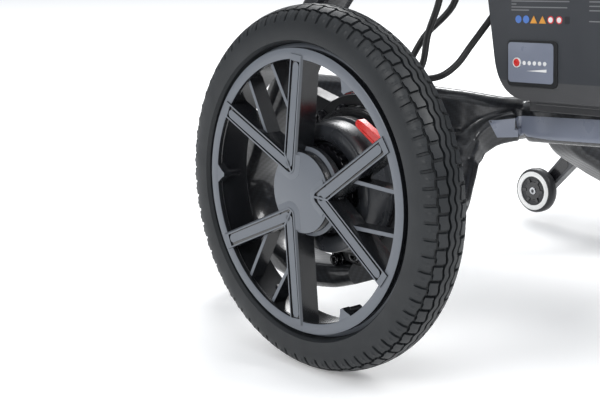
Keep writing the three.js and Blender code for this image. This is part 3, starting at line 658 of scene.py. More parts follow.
def rim_parts():
    ring = lathe([
        (96.2, 302), (96.8, 303.7), (97.4, 304), (103.6, 304), (104.6, 303.4), (104.8, 302.4), (104.8, 297.8),
        (107.5, 296.5), (103.2, 293), (103.2, 277), (107.5, 273.5), (107.5, 270.4), (101, 271.5),
        (98.4, 273.6),
        (98, 277), (97.6, 299), (96.4, 300.4)], 0, WHEEL_RADIUS, 160)
    hub = lathe([(0, HUB_FACE), (28.8, HUB_FACE), (29.8, 303.1), (30.2, 302), (30.2, 296.4), (33, 295.4),
                 (33, 291),
                 (30, 287.5), (22, 287), (22, 276), (9.5, 276), (9.5, 302), (0, 302)], 0, WHEEL_RADIUS, 96)
    parts = [ring, hub]
    for middle in MIDDLES:
        parts += v_parts(middle)
        peg = (middle + 60) % 360
        bump = [on_wheel(98, peg - 4.6), on_wheel(95.4, peg - 3.6), on_wheel(91.4, peg - 1.6), *(
            on_wheel(89, peg + k) for k in (-0.9, 0, 0.9)), on_wheel(91.4, peg + 1.6),
            on_wheel(95.4, peg + 3.6),
            on_wheel(98, peg + 4.6)]
        parts.append(prism(bump, 297, 303.7))
    return parts


def groove_parts():
    return [prism(spoke_outline(middle, 2.2, 95.7, 1.4), SPOKE_TOP - 1.5,
                  SPOKE_TOP - 1.2) for middle in MIDDLES]


def peg_parts():
    parts = []
    for middle in MIDDLES:
        y, z = on_wheel(92.4, (middle + 60) % 360)
        parts.append(rod(286, 298, 3.1, y, z, 24, 0.6))
    y, z = on_wheel(93.5, -62.9)
    parts += [rod(278, 285, 3.0, y, z, 20, 0.5), rod(285, 290, 2.0, y, z, 16, 0.4)]
    return parts


def hub_ring_parts():
    teeth = 28
    outline = []
    for i in range(teeth):
        for turn, r in ((-0.3, 38.6), (-0.2, 40.4), (0.2, 40.4), (0.3, 38.6)):
            outline.append(on_wheel(r - 7.4, (i + turn) * 360 / teeth))
    inner = [on_wheel(22.6, i * 360 / len(outline)) for i in range(len(outline))]
    inner = inner[-1:] + inner[:-1]
    return [band(outline, inner, 277, 282.6)]


def drive_wheels():
    pair("wheel_tyre", [tyre_parts()], "wheel", "tyre", ["tyre"], sharp=24)
    pair("wheel_rim", rim_parts(), "wheel", "rim_paint", ["rim"], bevel=0.45)
    pair("spoke_grooves", groove_parts(), "wheel", "gloss_black")
    pair("wheel_axle_rod", [rod(214, 303, 8, 0, WHEEL_RADIUS)], "wheel", "steel", ["wheel_axle"])
    pair("rim_pegs", peg_parts(), "wheel", "gloss_black")
    pair("toothed_hub_ring", hub_ring_parts(), "wheel", "gloss_black", ["hub_ring"], bevel=0.3)


# ---------- drive units ----------
def bolt_parts(x, y, z, radius=4.4, height=4.6):
    """Socket-head screw that faces +X."""
    hole = radius * 0.52
    return lathe([
        (0, x - height), (radius, x - height), (radius, x - 0.5), (radius - 0.5, x), (hole + 0.5, x),
        (hole, x - 0.4), (hole, x - 2.6), (0, x - 3.0)], y, z, 24, hexagon=(5, 6))


BOLTS = ((-41, 179), (-18, 186), (-22, 71), (-1, 78), (15, 170), (31, 118))


def drive_units():
    dome = lathe([
        (8.6, 268), (8.6, 275.2), (33.6, 275.4), (34.6, 276.2), (35.8, 280), (37, 281), (41, 281.7),
        (45.4, 281.9),
        (47.2, 281.3), (48.1, 279.8), (48.4, 270), (49, 263.5), (50.2, 262.4), (51, 261.4), (51, 258.4),
        (45, 258.4),
        (42, 276), (39, 276), (35, 269)], 0, WHEEL_RADIUS, 120)
    pair("gearbox_cover", [dome], "frame", "cover_paint", ["drive_cover"], bevel=0.25)
    boss = rounded(-32, -2, 84, 101, 6)
    lip = rounded(-30.4, -3.6, 85.6, 99.4, 4.6)
    pair("housing_boss", [stack([(boss, 249), (boss, 263), (lip, 264.4)])], "frame", "black_casting",
         bevel=0.6)
    dish = band(rounded(-28.6, -5.4, 87.2, 97.8, 3.4), rounded(-27.6, -6.4, 88.2, 96.8, 2.6), 264, 265)
    pair("housing_boss_line", [dish], "frame", "black_casting")
    screws = [bolt_parts(250, y, z) for y, z in BOLTS]
    screws += [rod(243, 246, 6.2, y, z, 28, 0.5) for y, z in BOLTS]
    pair("housing_screws", screws, "frame", "gloss_black")
    fins = [band([on_wheel(r + 0.9, k * 4) for k in range(90)], [on_wheel(r - 0.9, k * 4) for k in range(90)],
                 249.4, 251) for r in (52.6, 55.2)]
    pair("housing_ribs", fins, "frame", "black_casting")


# ---------- carbon frame: the CAD's paths, [x, y, z, half size along side, half size across it] ----------
SIDE_X, SIDE_Y, SIDE_Z = Vector((1, 0, 0)), Vector((0, 1, 0)), Vector((0, 0, 1))
RAIL = (
    (0, -20, 155.5, 30, 18.2), (0, 65, 161.5, 30, 18.2), (0, 150, 167.5, 30, 18.2), (0, 235, 178, 29, 18),
    (0, 320, 196, 26, 17.5), (0, 405, 221, 22, 17), (0, 490, 236, 19, 16))
YOKE = (
    (2, -34, 156, 18.2, 14), (34, -36, 157, 18.5, 12), (62, -62, 162, 19.5, 11.5), (92, -98, 168, 19, 11),
    (140, -109, 177, 17, 10), (190, -107, 188, 14, 10), (222, -98, 194, 12, 9))
LEG = (
    (26, -44, 150, 12, 9), (42, -54, 146, 17, 10), (59, -56, 139, 19, 10.5), (70, -53.5, 130.5, 19, 10.5),
    (77.5, -51, 119.5, 18, 10.5), (94.5, -41, 106, 18, 10.5), (116, -29, 91, 18, 10.5),
    (165, -18, 68, 15, 10),
    (216.6, -22, 58, 13, 9))
LOOP = (
    (14, 99, 454, 14, 9), (70, 76, 436, 16, 9.5), (140, 36, 394, 17, 10), (200, -6, 336, 18, 10),
    (231, -40, 278, 18, 10), (235, -66, 238, 18, 10), (235, -94, 189, 18, 10), (235, -120, 146, 18, 10),
    (235, -134, 119, 18, 10), (235, -131, 93, 18, 10), (235, -115, 71, 18, 10), (235, -92, 59, 18, 10),
    (235, -57, 54, 18, 10), (235, -26, 57, 17, 9.5), (235, -5, 62, 14, 8))


def chamfered_section(half_side, half_up, corner):
    """Rounded box with a flat chamfer on each long edge, which catches the light as a thin line."""
    a, b, c = half_side, half_up, corner
    quarter = [(a, b - 1.55 * c), (a - 0.12 * c, b - 1.15 * c), (a - 0.95 * c, b - 0.22 * c),
               (a - 1.4 * c, b)]
    ring = quarter + [(-u, v) for u, v in quarter[::-1]]
    return ring + [(-u, -v) for u, v in ring]


def moulded_body(obj, voxel, rounds):
    """Fuses a piece's overlapping sweeps into one skin and softens the joins."""
    remesh = obj.modifiers.new("fuse", "REMESH")
    remesh.mode = "VOXEL"
    remesh.voxel_size = voxel * MM
    remesh.use_smooth_shade = True
    soften = obj.modifiers.new("soften", "SMOOTH")
    soften.factor = 0.5
    soften.iterations = rounds
    graph = bpy.context.evaluated_depsgraph_get()
    mesh = bpy.data.meshes.new_from_object(obj.evaluated_get(graph))
    obj.modifiers.clear()
    obj.data = mesh
    return obj


def carbon_frame():
    side = [sweep(YOKE, SIDE_Z, 60, 5, chamfered_section), sweep(LEG, SIDE_Y, 60, 4, chamfered_section)]
    fillet = [(30, -30, 154, 16, 13), (50, -46, 148, 17, 13), (62, -54, 138, 19, 11), (72, -52, 126, 18, 9)]
    side.append(sweep(fillet, SIDE_Y, 30, 4))
    neck = sweep([(0, 470, 233, 19, 16), (0, 518, 236, 17, 15)], SIDE_X, 4, 5)
    head = turned_z([rod(206, 262, 19, 0, CASTER_Y, 64, 1.5)])
    rail = sweep(RAIL, SIDE_X, 90, 4.5, chamfered_section)
    skin = piece("carbon_frame", [rail, neck, *side, *mirrored(side), *head], "frame", "carbon",
                 ["main_frame"])
    moulded_body(skin, 1.5, 5)
    side_panels(skin)
    lines = []
    for x in (25.2, -25.2):
        path = [(x * a / 30, y, z + b + 0.1, 0.8, 0.5) for _, y, z, a, b in RAIL]
        lines.append(sweep(path, SIDE_X, 90, 0.4))
    piece("rail_trim_lines", lines, "frame", "gloss_black")


def side_panels(skin):
    """Blue-grey panels laid on the rail's side faces and the root of the yoke."""
    tree = BVHTree.FromObject(skin, bpy.context.evaluated_depsgraph_get())
    columns, rows = 90, 8
    for name, way in zip(SIDES, (1, -1)):
        aim = Vector((-0.76 * way, -0.65, 0)).normalized()
        skin_points = []
        for i in range(columns + 1):
            y = -58.6 + 330 * i / columns
            top = 157.9 + 0.0751 * (y + 58.6) + 0.00028 * max(0, y - 100) ** 2
            low = top - min(14.5 + 0.075 * (y + 58.6), 19.6)
            taper = min(1, (i + 0.5) / 4, (columns - i + 0.5) / 24)
            for j in range(rows + 1):
                lean = 10 * (1 - j / rows) if i < 6 else 0
                z = top + (low - top) * (1 - (1 - j / rows) * taper if i >= 6 else j / rows)
                start = at(30 * way, y + (10 - lean) * (1 - i / 6 if i < 6 else 0), z) - aim * 0.2
                hit, normal, _, _ = tree.ray_cast(start, aim)
                skin_points.append((hit, normal) if hit else skin_points[-1])
        n = rows + 1
        count = (columns + 1) * n
        points = [p + s * 0.00035 for p, s in skin_points] + [p - s * 0.0004 for p, s in skin_points]
        faces = []
        for i in range(columns):
            for j in range(rows):
                quad = (i * n + j, i * n + j + 1, (i + 1) * n + j + 1, (i + 1) * n + j)
                faces += [quad, tuple(count + q for q in reversed(quad))]
        edge = ([i * n for i in range(columns + 1)] + [columns * n + j for j in range(1, n)]
                + [i * n + rows for i in range(columns - 1, -1, -1)] + [j for j in range(rows - 1, 0, -1)])
        for k, a in enumerate(edge):
            b = edge[(k + 1) % len(edge)]
            faces.append((a, b, count + b, count + a))
        piece(f"side_panel_{name}", [(points, faces)], "frame", "panel")


def straight_tube(slope, start, end, half_x, half_across):
    path = [(0, *along_slope(slope, along, -20), half_x, half_across) for along in (start, end)]
    return sweep(path, SIDE_X, 2, 6, rounded_section)


def carbon_tubes():
    pivot_y, pivot_z = ARM_PIVOT
    lug = [prism(arc(pivot_y, pivot_z, 9, 0, 350, 35), 230.4, 249.6),
           prism(bar((pivot_y, pivot_z), (-128, 90), 8.3), 230.4, 249.6)]
    pair("carbon_loop", [sweep(LOOP, SIDE_X, 160, 3.6, chamfered_section), *lug], "frame", "carbon",
         ["side_loop"], bevel=0.5)
    piece("carbon_tube", [straight_tube(TUBE_SLOPE, -416, -40.2, 17.8, 21.8)], "frame", "carbon",
          ["diagonal_tube"], bevel=0.4)
    mast = [straight_tube(MAST_SLOPE, 24, 519.6, 15.9, 19.9),
            prism(link(*HINGE, 13, *along_slope(MAST_SLOPE, 34, -20), 14), -11.4, 11.4)]
    piece("carbon_mast", mast, "mast", "carbon", ["upper_mast"], bevel=0.5)


# ---------- anti-tip arms ----------
def anti_tip():
    y0, z0 = ARM_PIVOT
    y1, z1 = ROLLER
    arm = [prism(link(y0, z0, 9, y1, z1, 7.5), 217.2, 229.4),
           rod(229, 248.6, 3.9, y0, z0, 28), rod(202.2, 218, 3.9, y1, z1, 28), rod(229, 231, 6.5, y0, z0, 28)]
    pair("stabiliser_arm", arm, "stabiliser", "grey_metal", ["antitip_arm"], bevel=0.7)
    d = unit((y0, z0), (y1, z1))
    slot = [(y0 + d[0] * k, z0 + d[1] * k) for k in (22, 46)]
    pair("arm_recess", [prism(link(*slot[0], 5.6, *slot[1], 5.2), 216.7, 217.5)], "stabiliser", "gloss_black",
         bevel=0.2)
    patch = [(y0 + d[0] * a - d[1] * b, z0 + d[1] * a + d[0] * b) for a, b in ((0, -7.5), (15, 0), (0, 7.5))]
    mark = [(y0 + d[0] * a - d[1] * b, z0 + d[1] * a + d[0] * b) for a, b in ((1.5, -4), (9, 0), (1.5, 4))]
    pair("arm_patch", [prism(patch, 216.8, 217.4)], "stabiliser", "white_trim", bevel=0.1)
    piece_pair_in("arm_patch_mark", [prism(mark, 216.6, 217.3)], "stabiliser", PRINTS["yellow"])
    tyre = lathe([
        (8, 203), (21.4, 201.4), (22.6, 202), (24.1, 204.4), (24.4, 208.2), (24.1, 212), (22.6, 214.6),
        (21.4, 215.2), (8, 214)], y1, z1, 72)
    pair("roller_tyre", [tyre], "roller", "roller_rubber", ["antitip_roller"])
    ring = lathe([(16, 202.6), (16, 200.9), (16.6, 200.7), (20.4, 200.9), (21.2, 201.5), (21.2, 203)],
                 y1, z1, 72)
    pair("roller_ring", [ring], "roller", "white_trim")
    hub = [lathe([(4.4, 203), (4.4, 201.8), (9.5, 201.8), (10.2, 202.6), (15.8, 202.9), (15.8, 206),
                  (4.4, 206)],
                 y1, z1, 48)]
    hub += [prism(bar((y1 + 9 * math.cos(a), z1 + 9 * math.sin(a)),
                      (y1 + 13.8 * math.cos(a), z1 + 13.8 * math.sin(a)),
                      1.6), 201.2, 203) for a in (k * math.pi / 3 for k in range(6))]
    pair("roller_hub", hub, "roller", "gloss_black")
    screw = [([Vector((2 * at(200.8, 0, 0).x - p.x, p.y, p.z)) for p in points], faces)
             for points, faces in [bolt_parts(200.9, y1, z1, 4.0, 2.6)]]
    pair("roller_screw", screw, "stabiliser", "steel")


# ---------- battery ----------
PRINT_COLOURS = {
    "white": (0.9, 0.9, 0.9), "blue": (0.1, 0.22, 0.6), "orange": (0.8, 0.36, 0.06),
    "red": (0.72, 0.05, 0.06),
    "yellow": (0.9, 0.72, 0.05), "dark": (0.03, 0.03, 0.035), "faint": (0.22, 0.225, 0.235),
    "lamp": (0.03, 0.16, 0.05)}


def piece_in(name, parts, body, material, slot="white_trim"):
    """A printed mark: its slot is the trim's, and its colour its own."""
    obj = piece(name, parts, body, slot)
    obj.data.materials[0] = material
    return obj


def piece_pair_in(name, parts, body, material):
    return [piece_in(f"{name}_{side}", parts if side == "right" else mirrored(parts), f"{body}_{side}",
                     material)
            for side in SIDES]


def tilted(parts):
    """Parts drawn level on the battery's base, tipped and lifted to where the battery sits."""
    c, s = math.cos(BATTERY_TILT), math.sin(BATTERY_TILT)
    result = []
    for points, faces in parts:
        moved = []
        for p in points:
            y, z = (p.y - AXLE_Y) / MM, p.z / MM
            moved.append(at(p.x / MM, y * c - z * s, y * s + z * c + BATTERY_BASE))
        result.append((moved, faces))
    return result


def bezier(a, b, c, d, count=12):
    return [tuple(a[i] * (1 - t) ** 3 + 3 * b[i] * t * (1 - t) ** 2 + 3 * c[i] * t * t * (1 - t)
                  + d[i] * t ** 3
                  for i in (0, 1)) for t in (k / count for k in range(1, count + 1))]


def battery_outline():
    line = [(22, 0)] + arc(158, 8, 8, -90, 0, 8) + arc(154, 95, 12, 0, 90, 10)
    line += bezier((154, 107), (60, 107), (20, 107), (-12, 107), 1)
    line += bezier((-12, 107), (-21, 107), (-24, 101), (-23, 93), 8) + [(-15, 36)]
    return line + bezier((-15, 36), (-12, 12), (0, 0), (22, 0), 14)[:-1]


def cut_with(obj, tools):
    """Takes the tool shapes out of a piece, for good."""
    graph = bpy.context.evaluated_depsgraph_get()
    mesh = bpy.data.meshes.new("tool")
    bm = bmesh.new()
    for points, faces in tools:
        corners = [bm.verts.new(p) for p in points]
        for face in faces:
            bm.faces.new([corners[i] for i in face])
    bmesh.ops.remove_doubles(bm, verts=bm.verts, dist=2e-6)
    bmesh.ops.recalc_face_normals(bm, faces=bm.faces)
    bm.to_mesh(mesh)
    bm.free()
    tool = bpy.data.objects.new("tool", mesh)
    bpy.context.scene.collection.objects.link(tool)
    cutter = obj.modifiers.new("cut", "BOOLEAN")
    cutter.operation = "DIFFERENCE"
    cutter.solver = "EXACT"
    cutter.object = tool
    graph.update()
    result = bpy.data.meshes.new_from_object(obj.evaluated_get(graph))
    obj.modifiers.clear()
    obj.data = result
    bpy.data.objects.remove(tool)
    smooth_faces(result, 38)


def battery():
    case = piece("battery_shell", tilted([prism(battery_outline(), -BATTERY_HALF, BATTERY_HALF)]), "battery",
                 "battery_plastic", ["battery_case"])
    seam = [prism(rounded(-40, 180, 100.6, 101.4, 0.3, 1), s * 73.9, s * 76) for s in (1, -1)]
    cut_with(case, tilted([prism(rounded(40, 110, 78, 130, 8), -60, 60),
                           rod(72, 80, 4.6, *BUTTON, 32, 0.1), *seam]))
    add_bevel(case, 3.4, 4)
    grip = [rod(-64, 64, 8, 75, 96, 48, 1), *(rod(s * 58, s * 62, 10, 75, 96, 48, 1) for s in (1, -1))]
    piece("battery_grip_bar", tilted(grip), "battery", "black_plastic")
    bezel = band(rounded(0.2, 51.2, 11.6, 49.2, 4), rounded(1.6, 47.4, 15.2, 47.2, 3), 74.6, 76.3)
    piece("panel_bezel", tilted([bezel]), "battery", "black_plastic", bevel=0.3)
    panel = band(rounded(1.4, 47.6, 15, 47.4, 3), [(BUTTON[0] + 4.5 * math.cos(a),
                                                    BUTTON[1] + 4.5 * math.sin(a)) for a in (
        -math.pi / 4 * 1.9 + 2 * math.pi * k / 28 for k in range(28))], 75.0, 76.5)
    piece("status_panel", tilted([panel]), "battery", "panel", ["battery_panel"])
    red = lathe([(0, 74), (3.2, 74), (3.2, 77.0), (2.7, 77.3), (1.9, 77.2), (0, 77.0)], *BUTTON, 40)
    piece("power_button", tilted([red]), "button", "red_plastic", ["battery_button"])
    ring = lathe([(3.25, 74.2), (3.25, 76.9), (3.5, 77.1), (3.95, 77.1), (4.1, 76.9), (4.1, 74.2)], *BUTTON,
                 40)
    piece_in("power_button_ring", tilted([ring]), "button", PRINTS["white"])
    marks = [rod(76.3, 76.75, 1.7, 18.2 + 5.25 * k, BUTTON[1], 24, 0.1) for k in range(5)]
    marks.append(prism([(20.5, 24.6), (41.0, 24.2), (41.0, 26.6)], 76.3, 76.75))
    piece_in("charge_marks", tilted(marks), "battery", PRINTS["white"])
    icons = {"blue": (11.1, 19.0), "orange": (26.8, 35.6), "red": (43.8, 52.2), "dark": (60.0,)}
    for colour, places in icons.items():
        shapes = []
        for y in places:
            if colour == "orange":
                shapes.append(prism([(y - 3.5, 63.0), (y + 3.5, 63.0), (y, 69)], 75, 75.32))
            elif colour == "dark":
                shapes.append(prism(rounded(y - 2.2, y + 2.2, 63.0, 69.0, 0.8), 75, 75.32))
            else:
                shapes.append(rod(75, 75.32, 3.1, y, 66, 28, 0.05))
        piece_in(f"icons_{colour}", tilted(shapes), "battery", PRINTS[colour])
    rings = [rod(75, 75.4, 2.2, y, 66, 28, 0.05) for y in icons["red"]]
    piece_in("icon_centres", tilted(rings), "battery", PRINTS["white"])
    rows = ((3.8, 62, 80.6), (3.8, 9, 78.2), (3.8, 60, 75.8), (3.8, 22, 73.4),
            (81, 128, 80.6), (81, 120, 77.2), (81, 112, 73.8), (81, 124, 65.5))
    lines = [prism(rounded(a, b, level - 0.45, level + 0.45, 0.4, 2), 75, 75.3) for a, b, level in rows]
    piece_in("plain_label_lines", tilted(lines), "battery", PRINTS["faint"])


# ---------- cables: the CAD's routes ----------
CABLES = {
    "signal": (
        (205.5, -22, 177), (197, -22, 177), (184, -30, 172), (152, -62, 160), (122, -128, 154),
        (98, -129, 176), (96, -112, 193), (96, -81, 201),
        (96, -72, 232), (96, -60, 261), (92, -58, 300), (78, -44, 346), (56, 8, 385), (36, 66, 408),
        (22, 112, 420)),
    "motor": (
        (205.5, -32, 168), (197, -32, 168), (186, -39, 164), (160, -66, 155), (128, -138, 148),
        (98, -141, 174), (82, -116, 192), (80, -107, 206),
        (78, -94, 226), (76, -60, 260), (76, -62, 300), (68, -52, 345), (54, 4, 372), (44, 54, 384),
        (33, 104, 390), (22, 142, 398)),
    "power": (
        (205.5, -10, 175), (197, -10, 175), (182, -19, 170), (142, -58, 158), (112, -120, 148),
        (86, -116, 172), (84, -107, 191),
        (84, -90, 190.5), (80, -70, 195), (72, -60, 205), (64, -52, 221), (54, -35, 249)),
}
CABLE_RADIUS = 2.9


def cable_parts(route):
    path = [(*spot, CABLE_RADIUS, CABLE_RADIUS) for spot in route]
    return sweep(path, SIDE_Z + SIDE_X * 0.3, 120, CABLE_RADIUS)


def cables():
    for name, route in CABLES.items():
        tube = [cable_parts(route)]
        piece(f"{name}_lead", tube, "frame", "cable_rubber", [f"{name}_cable"])
        if name == "motor":
            piece("left_motor_lead", mirrored(tube), "frame", "cable_rubber", ["left_motor_cable"])


# ---------- front caster ----------
def front_tyre_parts():
    pitches, turns = 44, (0.08, 0.14, 0.5, 0.86, 0.92)
    half = ((80, 0.8, 1), (80, 1.4, 0), (79.8, 6.2, 0), (79.7, 6.6, 1), (79.4, 7.8, 1), (79.2, 8.2, 0),
            (78.2, 13.5, 0), (76.4, 17, 0), (74, 19.4, 2), (71, 19.9, 2), (67, 18.6, 2), (63.5, 15, 2),
            (62.4, 12, 2))
    ring = [(1, spot) for spot in half] + [(-1, spot) for spot in half[::-1]]
    points, faces, n = [], [], len(ring)
    count = pitches * len(turns)
    for i in range(count):
        turn = turns[i % len(turns)]
        a = 2 * math.pi * (i // len(turns) + turn) / pitches
        for side, (radius, x, kind) in ring:
            across = kind == 0 and 6.4 < x < 18 and (turn < 0.1 or turn > 0.9)
            r = radius - (1.8 if kind == 1 or across else 0)
            points.append(at(side * x, FRONT_WHEEL[0] + r * math.cos(a), FRONT_WHEEL[1] + r * math.sin(a)))
    for i in range(count):
        k = (i + 1) % count
        faces += [(i * n + j, i * n + (j + 1) % n, k * n + (j + 1) % n, k * n + j) for j in range(n)]
    return points, faces


def front_wheel():
    piece("steering_tyre", [front_tyre_parts()], "front_wheel", "tyre", ["front_tyre"], sharp=24)
    y, z = FRONT_WHEEL
    rim = [lathe([(61.9, -13.6), (61.9, 13.6), (58.5, 13.8), (54.5, 12.6), (53, 8), (52.4, 0), (53, -8),
                  (54.5, -12.6),
                  (58.5, -13.8)], y, z, 96),
           lathe([(5.4, -21.8), (13, -21.8), (14, -20.8), (14, 20.8), (13, 21.8), (5.4, 21.8)], y, z, 48)]
    for k in range(6):
        a = k * math.pi / 3 + 0.5
        end = (y + 54 * math.cos(a), z + 54 * math.sin(a))
        rim += [prism(bar((y, z), end, 4.3), -8.6, 8.6), prism(bar((y, z), end, 1.6), -10.4, 10.4)]
    piece("steering_rim", rim, "front_wheel", "rim_paint", ["front_rim"], bevel=0.6)
    caps = [rod(s * 33, s * 36.5, 6.5, y, z, 6, 0.8) for s in (1, -1)]
    piece("steering_axle_nuts", caps, "caster", "steel")


# ---------- drive unit bodies ----------
def unit_bodies():
    housing = [lathe([(8.6, 206.5), (54, 206.5), (57, 209), (57, 224), (56, 225), (56, 245), (57, 246),
                      (57, 249.4),
                      (56.4, 250), (51, 250), (51, 257.8), (48, 257.8), (48, 246), (8.6, 246)], 0,
                      WHEEL_RADIUS, 120),
               prism(link(0, WHEEL_RADIUS, 40, 30, WHEEL_RADIUS - 22, 34, 30), 212, 256),
               prism(link(36, 158, 10, *LEVER_PIVOT, 6), 236, 257),
               rod(256, 271.4, 1.8, *LEVER_PIVOT, 24, 0.3)]
    pair("gearbox_housing", housing, "frame", "black_casting", ["drive_housing"], bevel=0.9)
    can = [(0, 251.8), (3.4, 251.8), (3.4, 205.7), (24, 205.7), (28, 202)]
    for k in range(7):
        x = 198 - 4 * k
        can += [(28, x), (26.8, x - 0.8), (26.8, x - 2.2), (28, x - 3)]
    pair("motor_can", [lathe(can + [(28, 168), (24, 163), (0, 163)], *MOTOR, 72)], "frame", "black_casting",
         ["motor"])
    half_ring = arc(0, WHEEL_RADIUS, 66, 88, 272, 60) + arc(0, WHEEL_RADIUS, 57.6, 272, 88, 60)
    clamp = [prism(half_ring, 226, 244), prism(link(-40, 182, 11, -74, 192, 9), 227, 243),
             prism(link(-24, 71, 8, -24, 77, 8), 227, 243)]
    pair("carrier_clamp", clamp, "frame", "black_casting", ["motor_clamp"], bevel=1.1)
    tab = band(link(*LEVER_PIVOT, 4.5, *LEVER_TIP, 3.2), link(*LEVER_PIVOT, 2.15, *LEVER_TIP, 1.6), 264.6,
               270.9)
    web = prism(link(46, 174.2, 3, *LEVER_TIP, 2.2), 265.4, 270.1)
    cap = [rod(271.3, 275, 7.5, LEVER_PIVOT[0] + 2, LEVER_PIVOT[1] - 2, 36, 1.2)]
    pair("lever_cap", cap, "frame", "black_casting")
    pair("release_lever", [tab, web], "release", "red_plastic", ["release_tab"], bevel=0.5)


# ---------- bag supports ----------
def flat(parts):
    """Outlines drawn in (x, away from the tube), extruded along the tube."""
    return turned_z(parts)


def arc_plate(start, end, inner, outer, z0, z1):
    return prism(arc(0, BAG_CENTRE, outer, start, end, 40) + arc(0, BAG_CENTRE, inner, end, start, 40), z0,
                 z1)


def cradle(name, body, slope, along, arm_body):
    r = BAG_RADIUS + 5
    hinge = (r * math.cos(math.radians(-41)), BAG_CENTRE + r * math.sin(math.radians(-41)))
    saddle = [arc_plate(-138, -42, BAG_RADIUS, BAG_RADIUS + 10, 0, 36),
              arc_plate(-128, -52, BAG_RADIUS + 9, BAG_RADIUS + 12, 15, 21),
              prism(rounded(-15, 15, 2.4, 10, 2), 0, 36)]
    for s in (1, -1):
        saddle += [rod(0, 8, 9, s * hinge[0], hinge[1], 36, 0.8),
                   rod(28, 36, 9, s * hinge[0], hinge[1], 36, 0.8)]
    shaped = placed_on_slope(flat(saddle), slope, along)
    piece(f"{name}_saddle", shaped, body, "black_plastic", [f"{name}_cradle"], bevel=0.9)
    pads = [arc_plate(start, start + 22, BAG_RADIUS - 1.2, BAG_RADIUS + 0.4, 4, 32) for start in (-128, -101,
                                                                                                  -74)]
    piece(f"{name}_pads", placed_on_slope(flat(pads), slope, along), body, "grip_rubber", bevel=0.4)
    screws = [rod(s * 36, s * 34.5 + 1, 3.2, 0, 6, 24, 0.4) for s in (1,)]
    piece(f"{name}_screw", placed_on_slope(flat(screws), slope, along), body, "steel")
    arm = [arc_plate(-40, 28, BAG_RADIUS, BAG_RADIUS + 8, 9, 27),
           arc_plate(-30, 20, BAG_RADIUS + 7, BAG_RADIUS + 9.5, 16, 20),
           rod(9, 27, 8.8, *hinge, 36, 0.8), rod(1, 35, 3, *hinge, 24, 0.4)]
    tip = [arc_plate(14, 29.5, BAG_RADIUS - 1.5, BAG_RADIUS + 8.8, 8, 28)]
    for side in SIDES:
        for label, shape, slot, nodes in (("arm", arm, "black_plastic", [f"{name}_arm_{side}"]),
                                          ("arm_tip", tip, "grip_rubber", [])):
            shape = placed_on_slope(flat(shape), slope, along)
            piece(f"{name}_bag_{label}_{side}", shape if side == "right" else mirrored(shape),
                  f"{arm_body}_{side}",
                  slot, nodes, bevel=0.9)


def bag_supports():
    cradle("upper", "mast", MAST_SLOPE, 250, "upper_bag_arm")
    cradle("lower", "frame", TUBE_SLOPE, -300, "lower_bag_arm")
    plate = [prism(rounded(-80, 80, 2.6, 205, 30, 12), 0, 8), prism(rounded(-50, 50, 195.2, 204.8, 4), 4, 34),
             prism(rounded(-22, 22, 2.6, 22, 3), -30, 4)]
    piece("bag_shelf", placed_on_slope(flat(plate), TUBE_SLOPE, -345), "frame", "black_plastic",
          ["bag_base"], bevel=1.2)
    ribs = [prism(rounded(-60 + abs(k) * 4, 60 - abs(k) * 4, 100 + 24 * k - 3, 100 + 24 * k + 3, 2.5), 7.6,
                  9.2)
            for k in range(-3, 4)]
    piece("bag_shelf_ribs", placed_on_slope(flat(ribs), TUBE_SLOPE, -345), "frame", "grip_rubber", bevel=0.4)


# ---------- handle and console ----------
DIAL_Y = -74


def reshaped(parts, rule):
    return [([at(*rule(p.x / MM, (p.y - AXLE_Y) / MM, p.z / MM)) for p in points], faces) for points,
            faces in parts]


def at_handle(parts, tipped=False):
    y0, z0 = along_slope(MAST_SLOPE, 534, -20)
    c, s = math.cos(-0.085), math.sin(-0.085)

    def rule(x, y, z):
        if tipped:
            y, z = y * c - z * s, y * s + z * c - 6.5
        return x, y + y0, z + z0
    return reshaped(parts, rule)


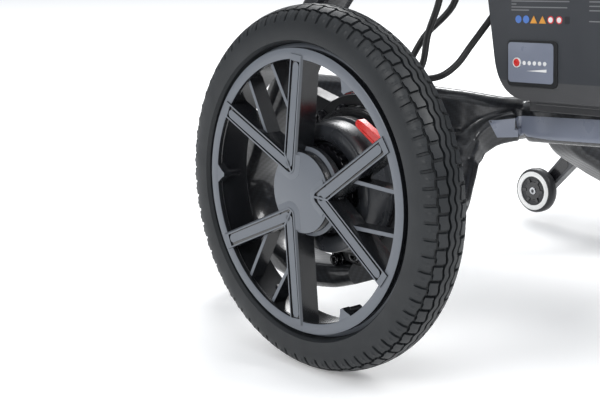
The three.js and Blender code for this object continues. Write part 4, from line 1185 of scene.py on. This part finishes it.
def handle():
    bar_path = [(-125, -120, -14, 10, 9), (-125, -60, -6, 11, 10), (-112, -14, 0, 12, 10),
                (-70, 0, 2, 13, 11),
                (0, 2, 2, 14, 12), (70, 0, 2, 13, 11), (112, -14, 0, 12, 10), (125, -60, -6, 11, 10),
                (125, -120, -14, 10, 9)]
    shape = [sweep(bar_path, SIDE_Z, 140, 7), rod(-15.6, 15.6, 19, 0, 0, 64, 1.5),
             turned_z([prism(rounded(-20, 20, -60, -5, 3), 1, 9)])[0]]
    piece("carbon_handle", at_handle(shape), "mast", "carbon", ["handle_bar"])
    ribs = 24
    sleeve = []
    for i in range(ribs * 2 + 1):
        k = i / (ribs * 2)
        swell = 0.45 if i % 2 else -0.35
        end = 0.72 if i in (0, ribs * 2) else 1
        sleeve.append((125, -136 + 74 * k, -17 + 10.6 * k, (14.6 + swell) * end, (13.6 + swell) * end))
    pair("hand_grip", at_handle([sweep(sleeve, SIDE_Z, ribs * 8, 11)]), "mast", "grip_rubber", ["grip"])
    outline = [(-96, 9.4), (-95, 33), (-92, 36), (-22, 30), (-12, 20), (-12, 14.6), (-20, 9.4)]
    body = [prism(outline, -52, 52)]
    piece("console_body", at_handle(body), "mast", "black_plastic", ["console"], bevel=2.2, segments=4)
    glass = turned_z([prism(rounded(-44, 12, -54, -28, 3), 35.4, 37.6)])
    piece("console_screen", at_handle(glass, True), "mast", "gloss_black", bevel=0.4)
    collar = turned_z([lathe([(13.6, 34), (13.6, 37.4), (14.4, 38.2), (16.4, 38.2), (17.2, 37.4), (17.2, 34)],
                             0, DIAL_Y, 64)])
    piece("dial_collar", at_handle(collar, True), "mast", "gloss_black")
    lamps = turned_z([rod(36.8, 37.8, 1.2, -36 + 9 * k, -41, 20, 0.2) for k in range(4)])
    piece_in("console_lamps", at_handle(lamps, True), "mast", PRINTS["lamp"])
    knurls = 36
    outline = []
    for k in range(knurls):
        for turn, radius in ((-0.3, 11.9), (-0.12, 12.6), (0.12, 12.6), (0.3, 11.9)):
            a = 2 * math.pi * (k + turn) / knurls
            outline.append((radius * math.cos(a), DIAL_Y + radius * math.sin(a)))
    knob = turned_z([prism(outline, 33, 41.2), lathe([(0, 41), (11.2, 41), (10.6, 42), (0, 42)], 0, DIAL_Y,
                                                     64),
                     lathe([(0, 30.4), (12.9, 30.4), (12.9, 33.4), (0, 33.4)], 0, DIAL_Y, 64)])
    piece("speed_knob", at_handle(knob, True), "dial", "aluminium", ["speed_dial"], bevel=0.3)
    line = turned_z([prism(rounded(-0.8, 0.8, DIAL_Y + 4, DIAL_Y + 10, 0.5, 2), 41.8, 42.3)])
    piece_in("knob_line", at_handle(line, True), "dial", PRINTS["red"])


# ---------- CAD nodes that stay ----------
def dress_cad_nodes():
    """Gives each CAD node that still shows its material, softened edges and even shading."""
    slots = {part["node"]: part["material_slot"] for part in frame["record"]["subparts"]}
    for name, node in frame["nodes"].items():
        node.data.materials.clear()
        node.data.materials.append(MATERIALS[slots[name]])
        if name in STOOD_FOR:
            continue
        weld = node.modifiers.new("weld", "WELD")
        weld.merge_threshold = 1e-5
        flatten = node.modifiers.new("flatten", "DECIMATE")
        flatten.decimate_type = "DISSOLVE"
        flatten.angle_limit = math.radians(1)
        add_bevel(node, 0.6, 2)


make_camera()
make_world()
make_floor()
area_light("key", (-0.6, 2.1, 2.6), (0, 0, 0.2), 1.6, 60)
area_light("side", (2.6, 0.2, 1.5), (0.2, 0, 0.15), 1.2, 28)
area_light("back", (-1.6, -1.8, 2.0), (0, 0, 0.2), 1.4, 40)
MATERIALS = make_materials()
PRINTS = {name: moulded(f"print_{name}", colour, 0.4, 1200, 0.02, 0.05) for name,
          colour in PRINT_COLOURS.items()}
STOOD_FOR = set()
drive_wheels()
drive_units()
unit_bodies()
carbon_frame()
carbon_tubes()
anti_tip()
battery()
cables()
front_wheel()
bag_supports()
handle()
dress_cad_nodes()
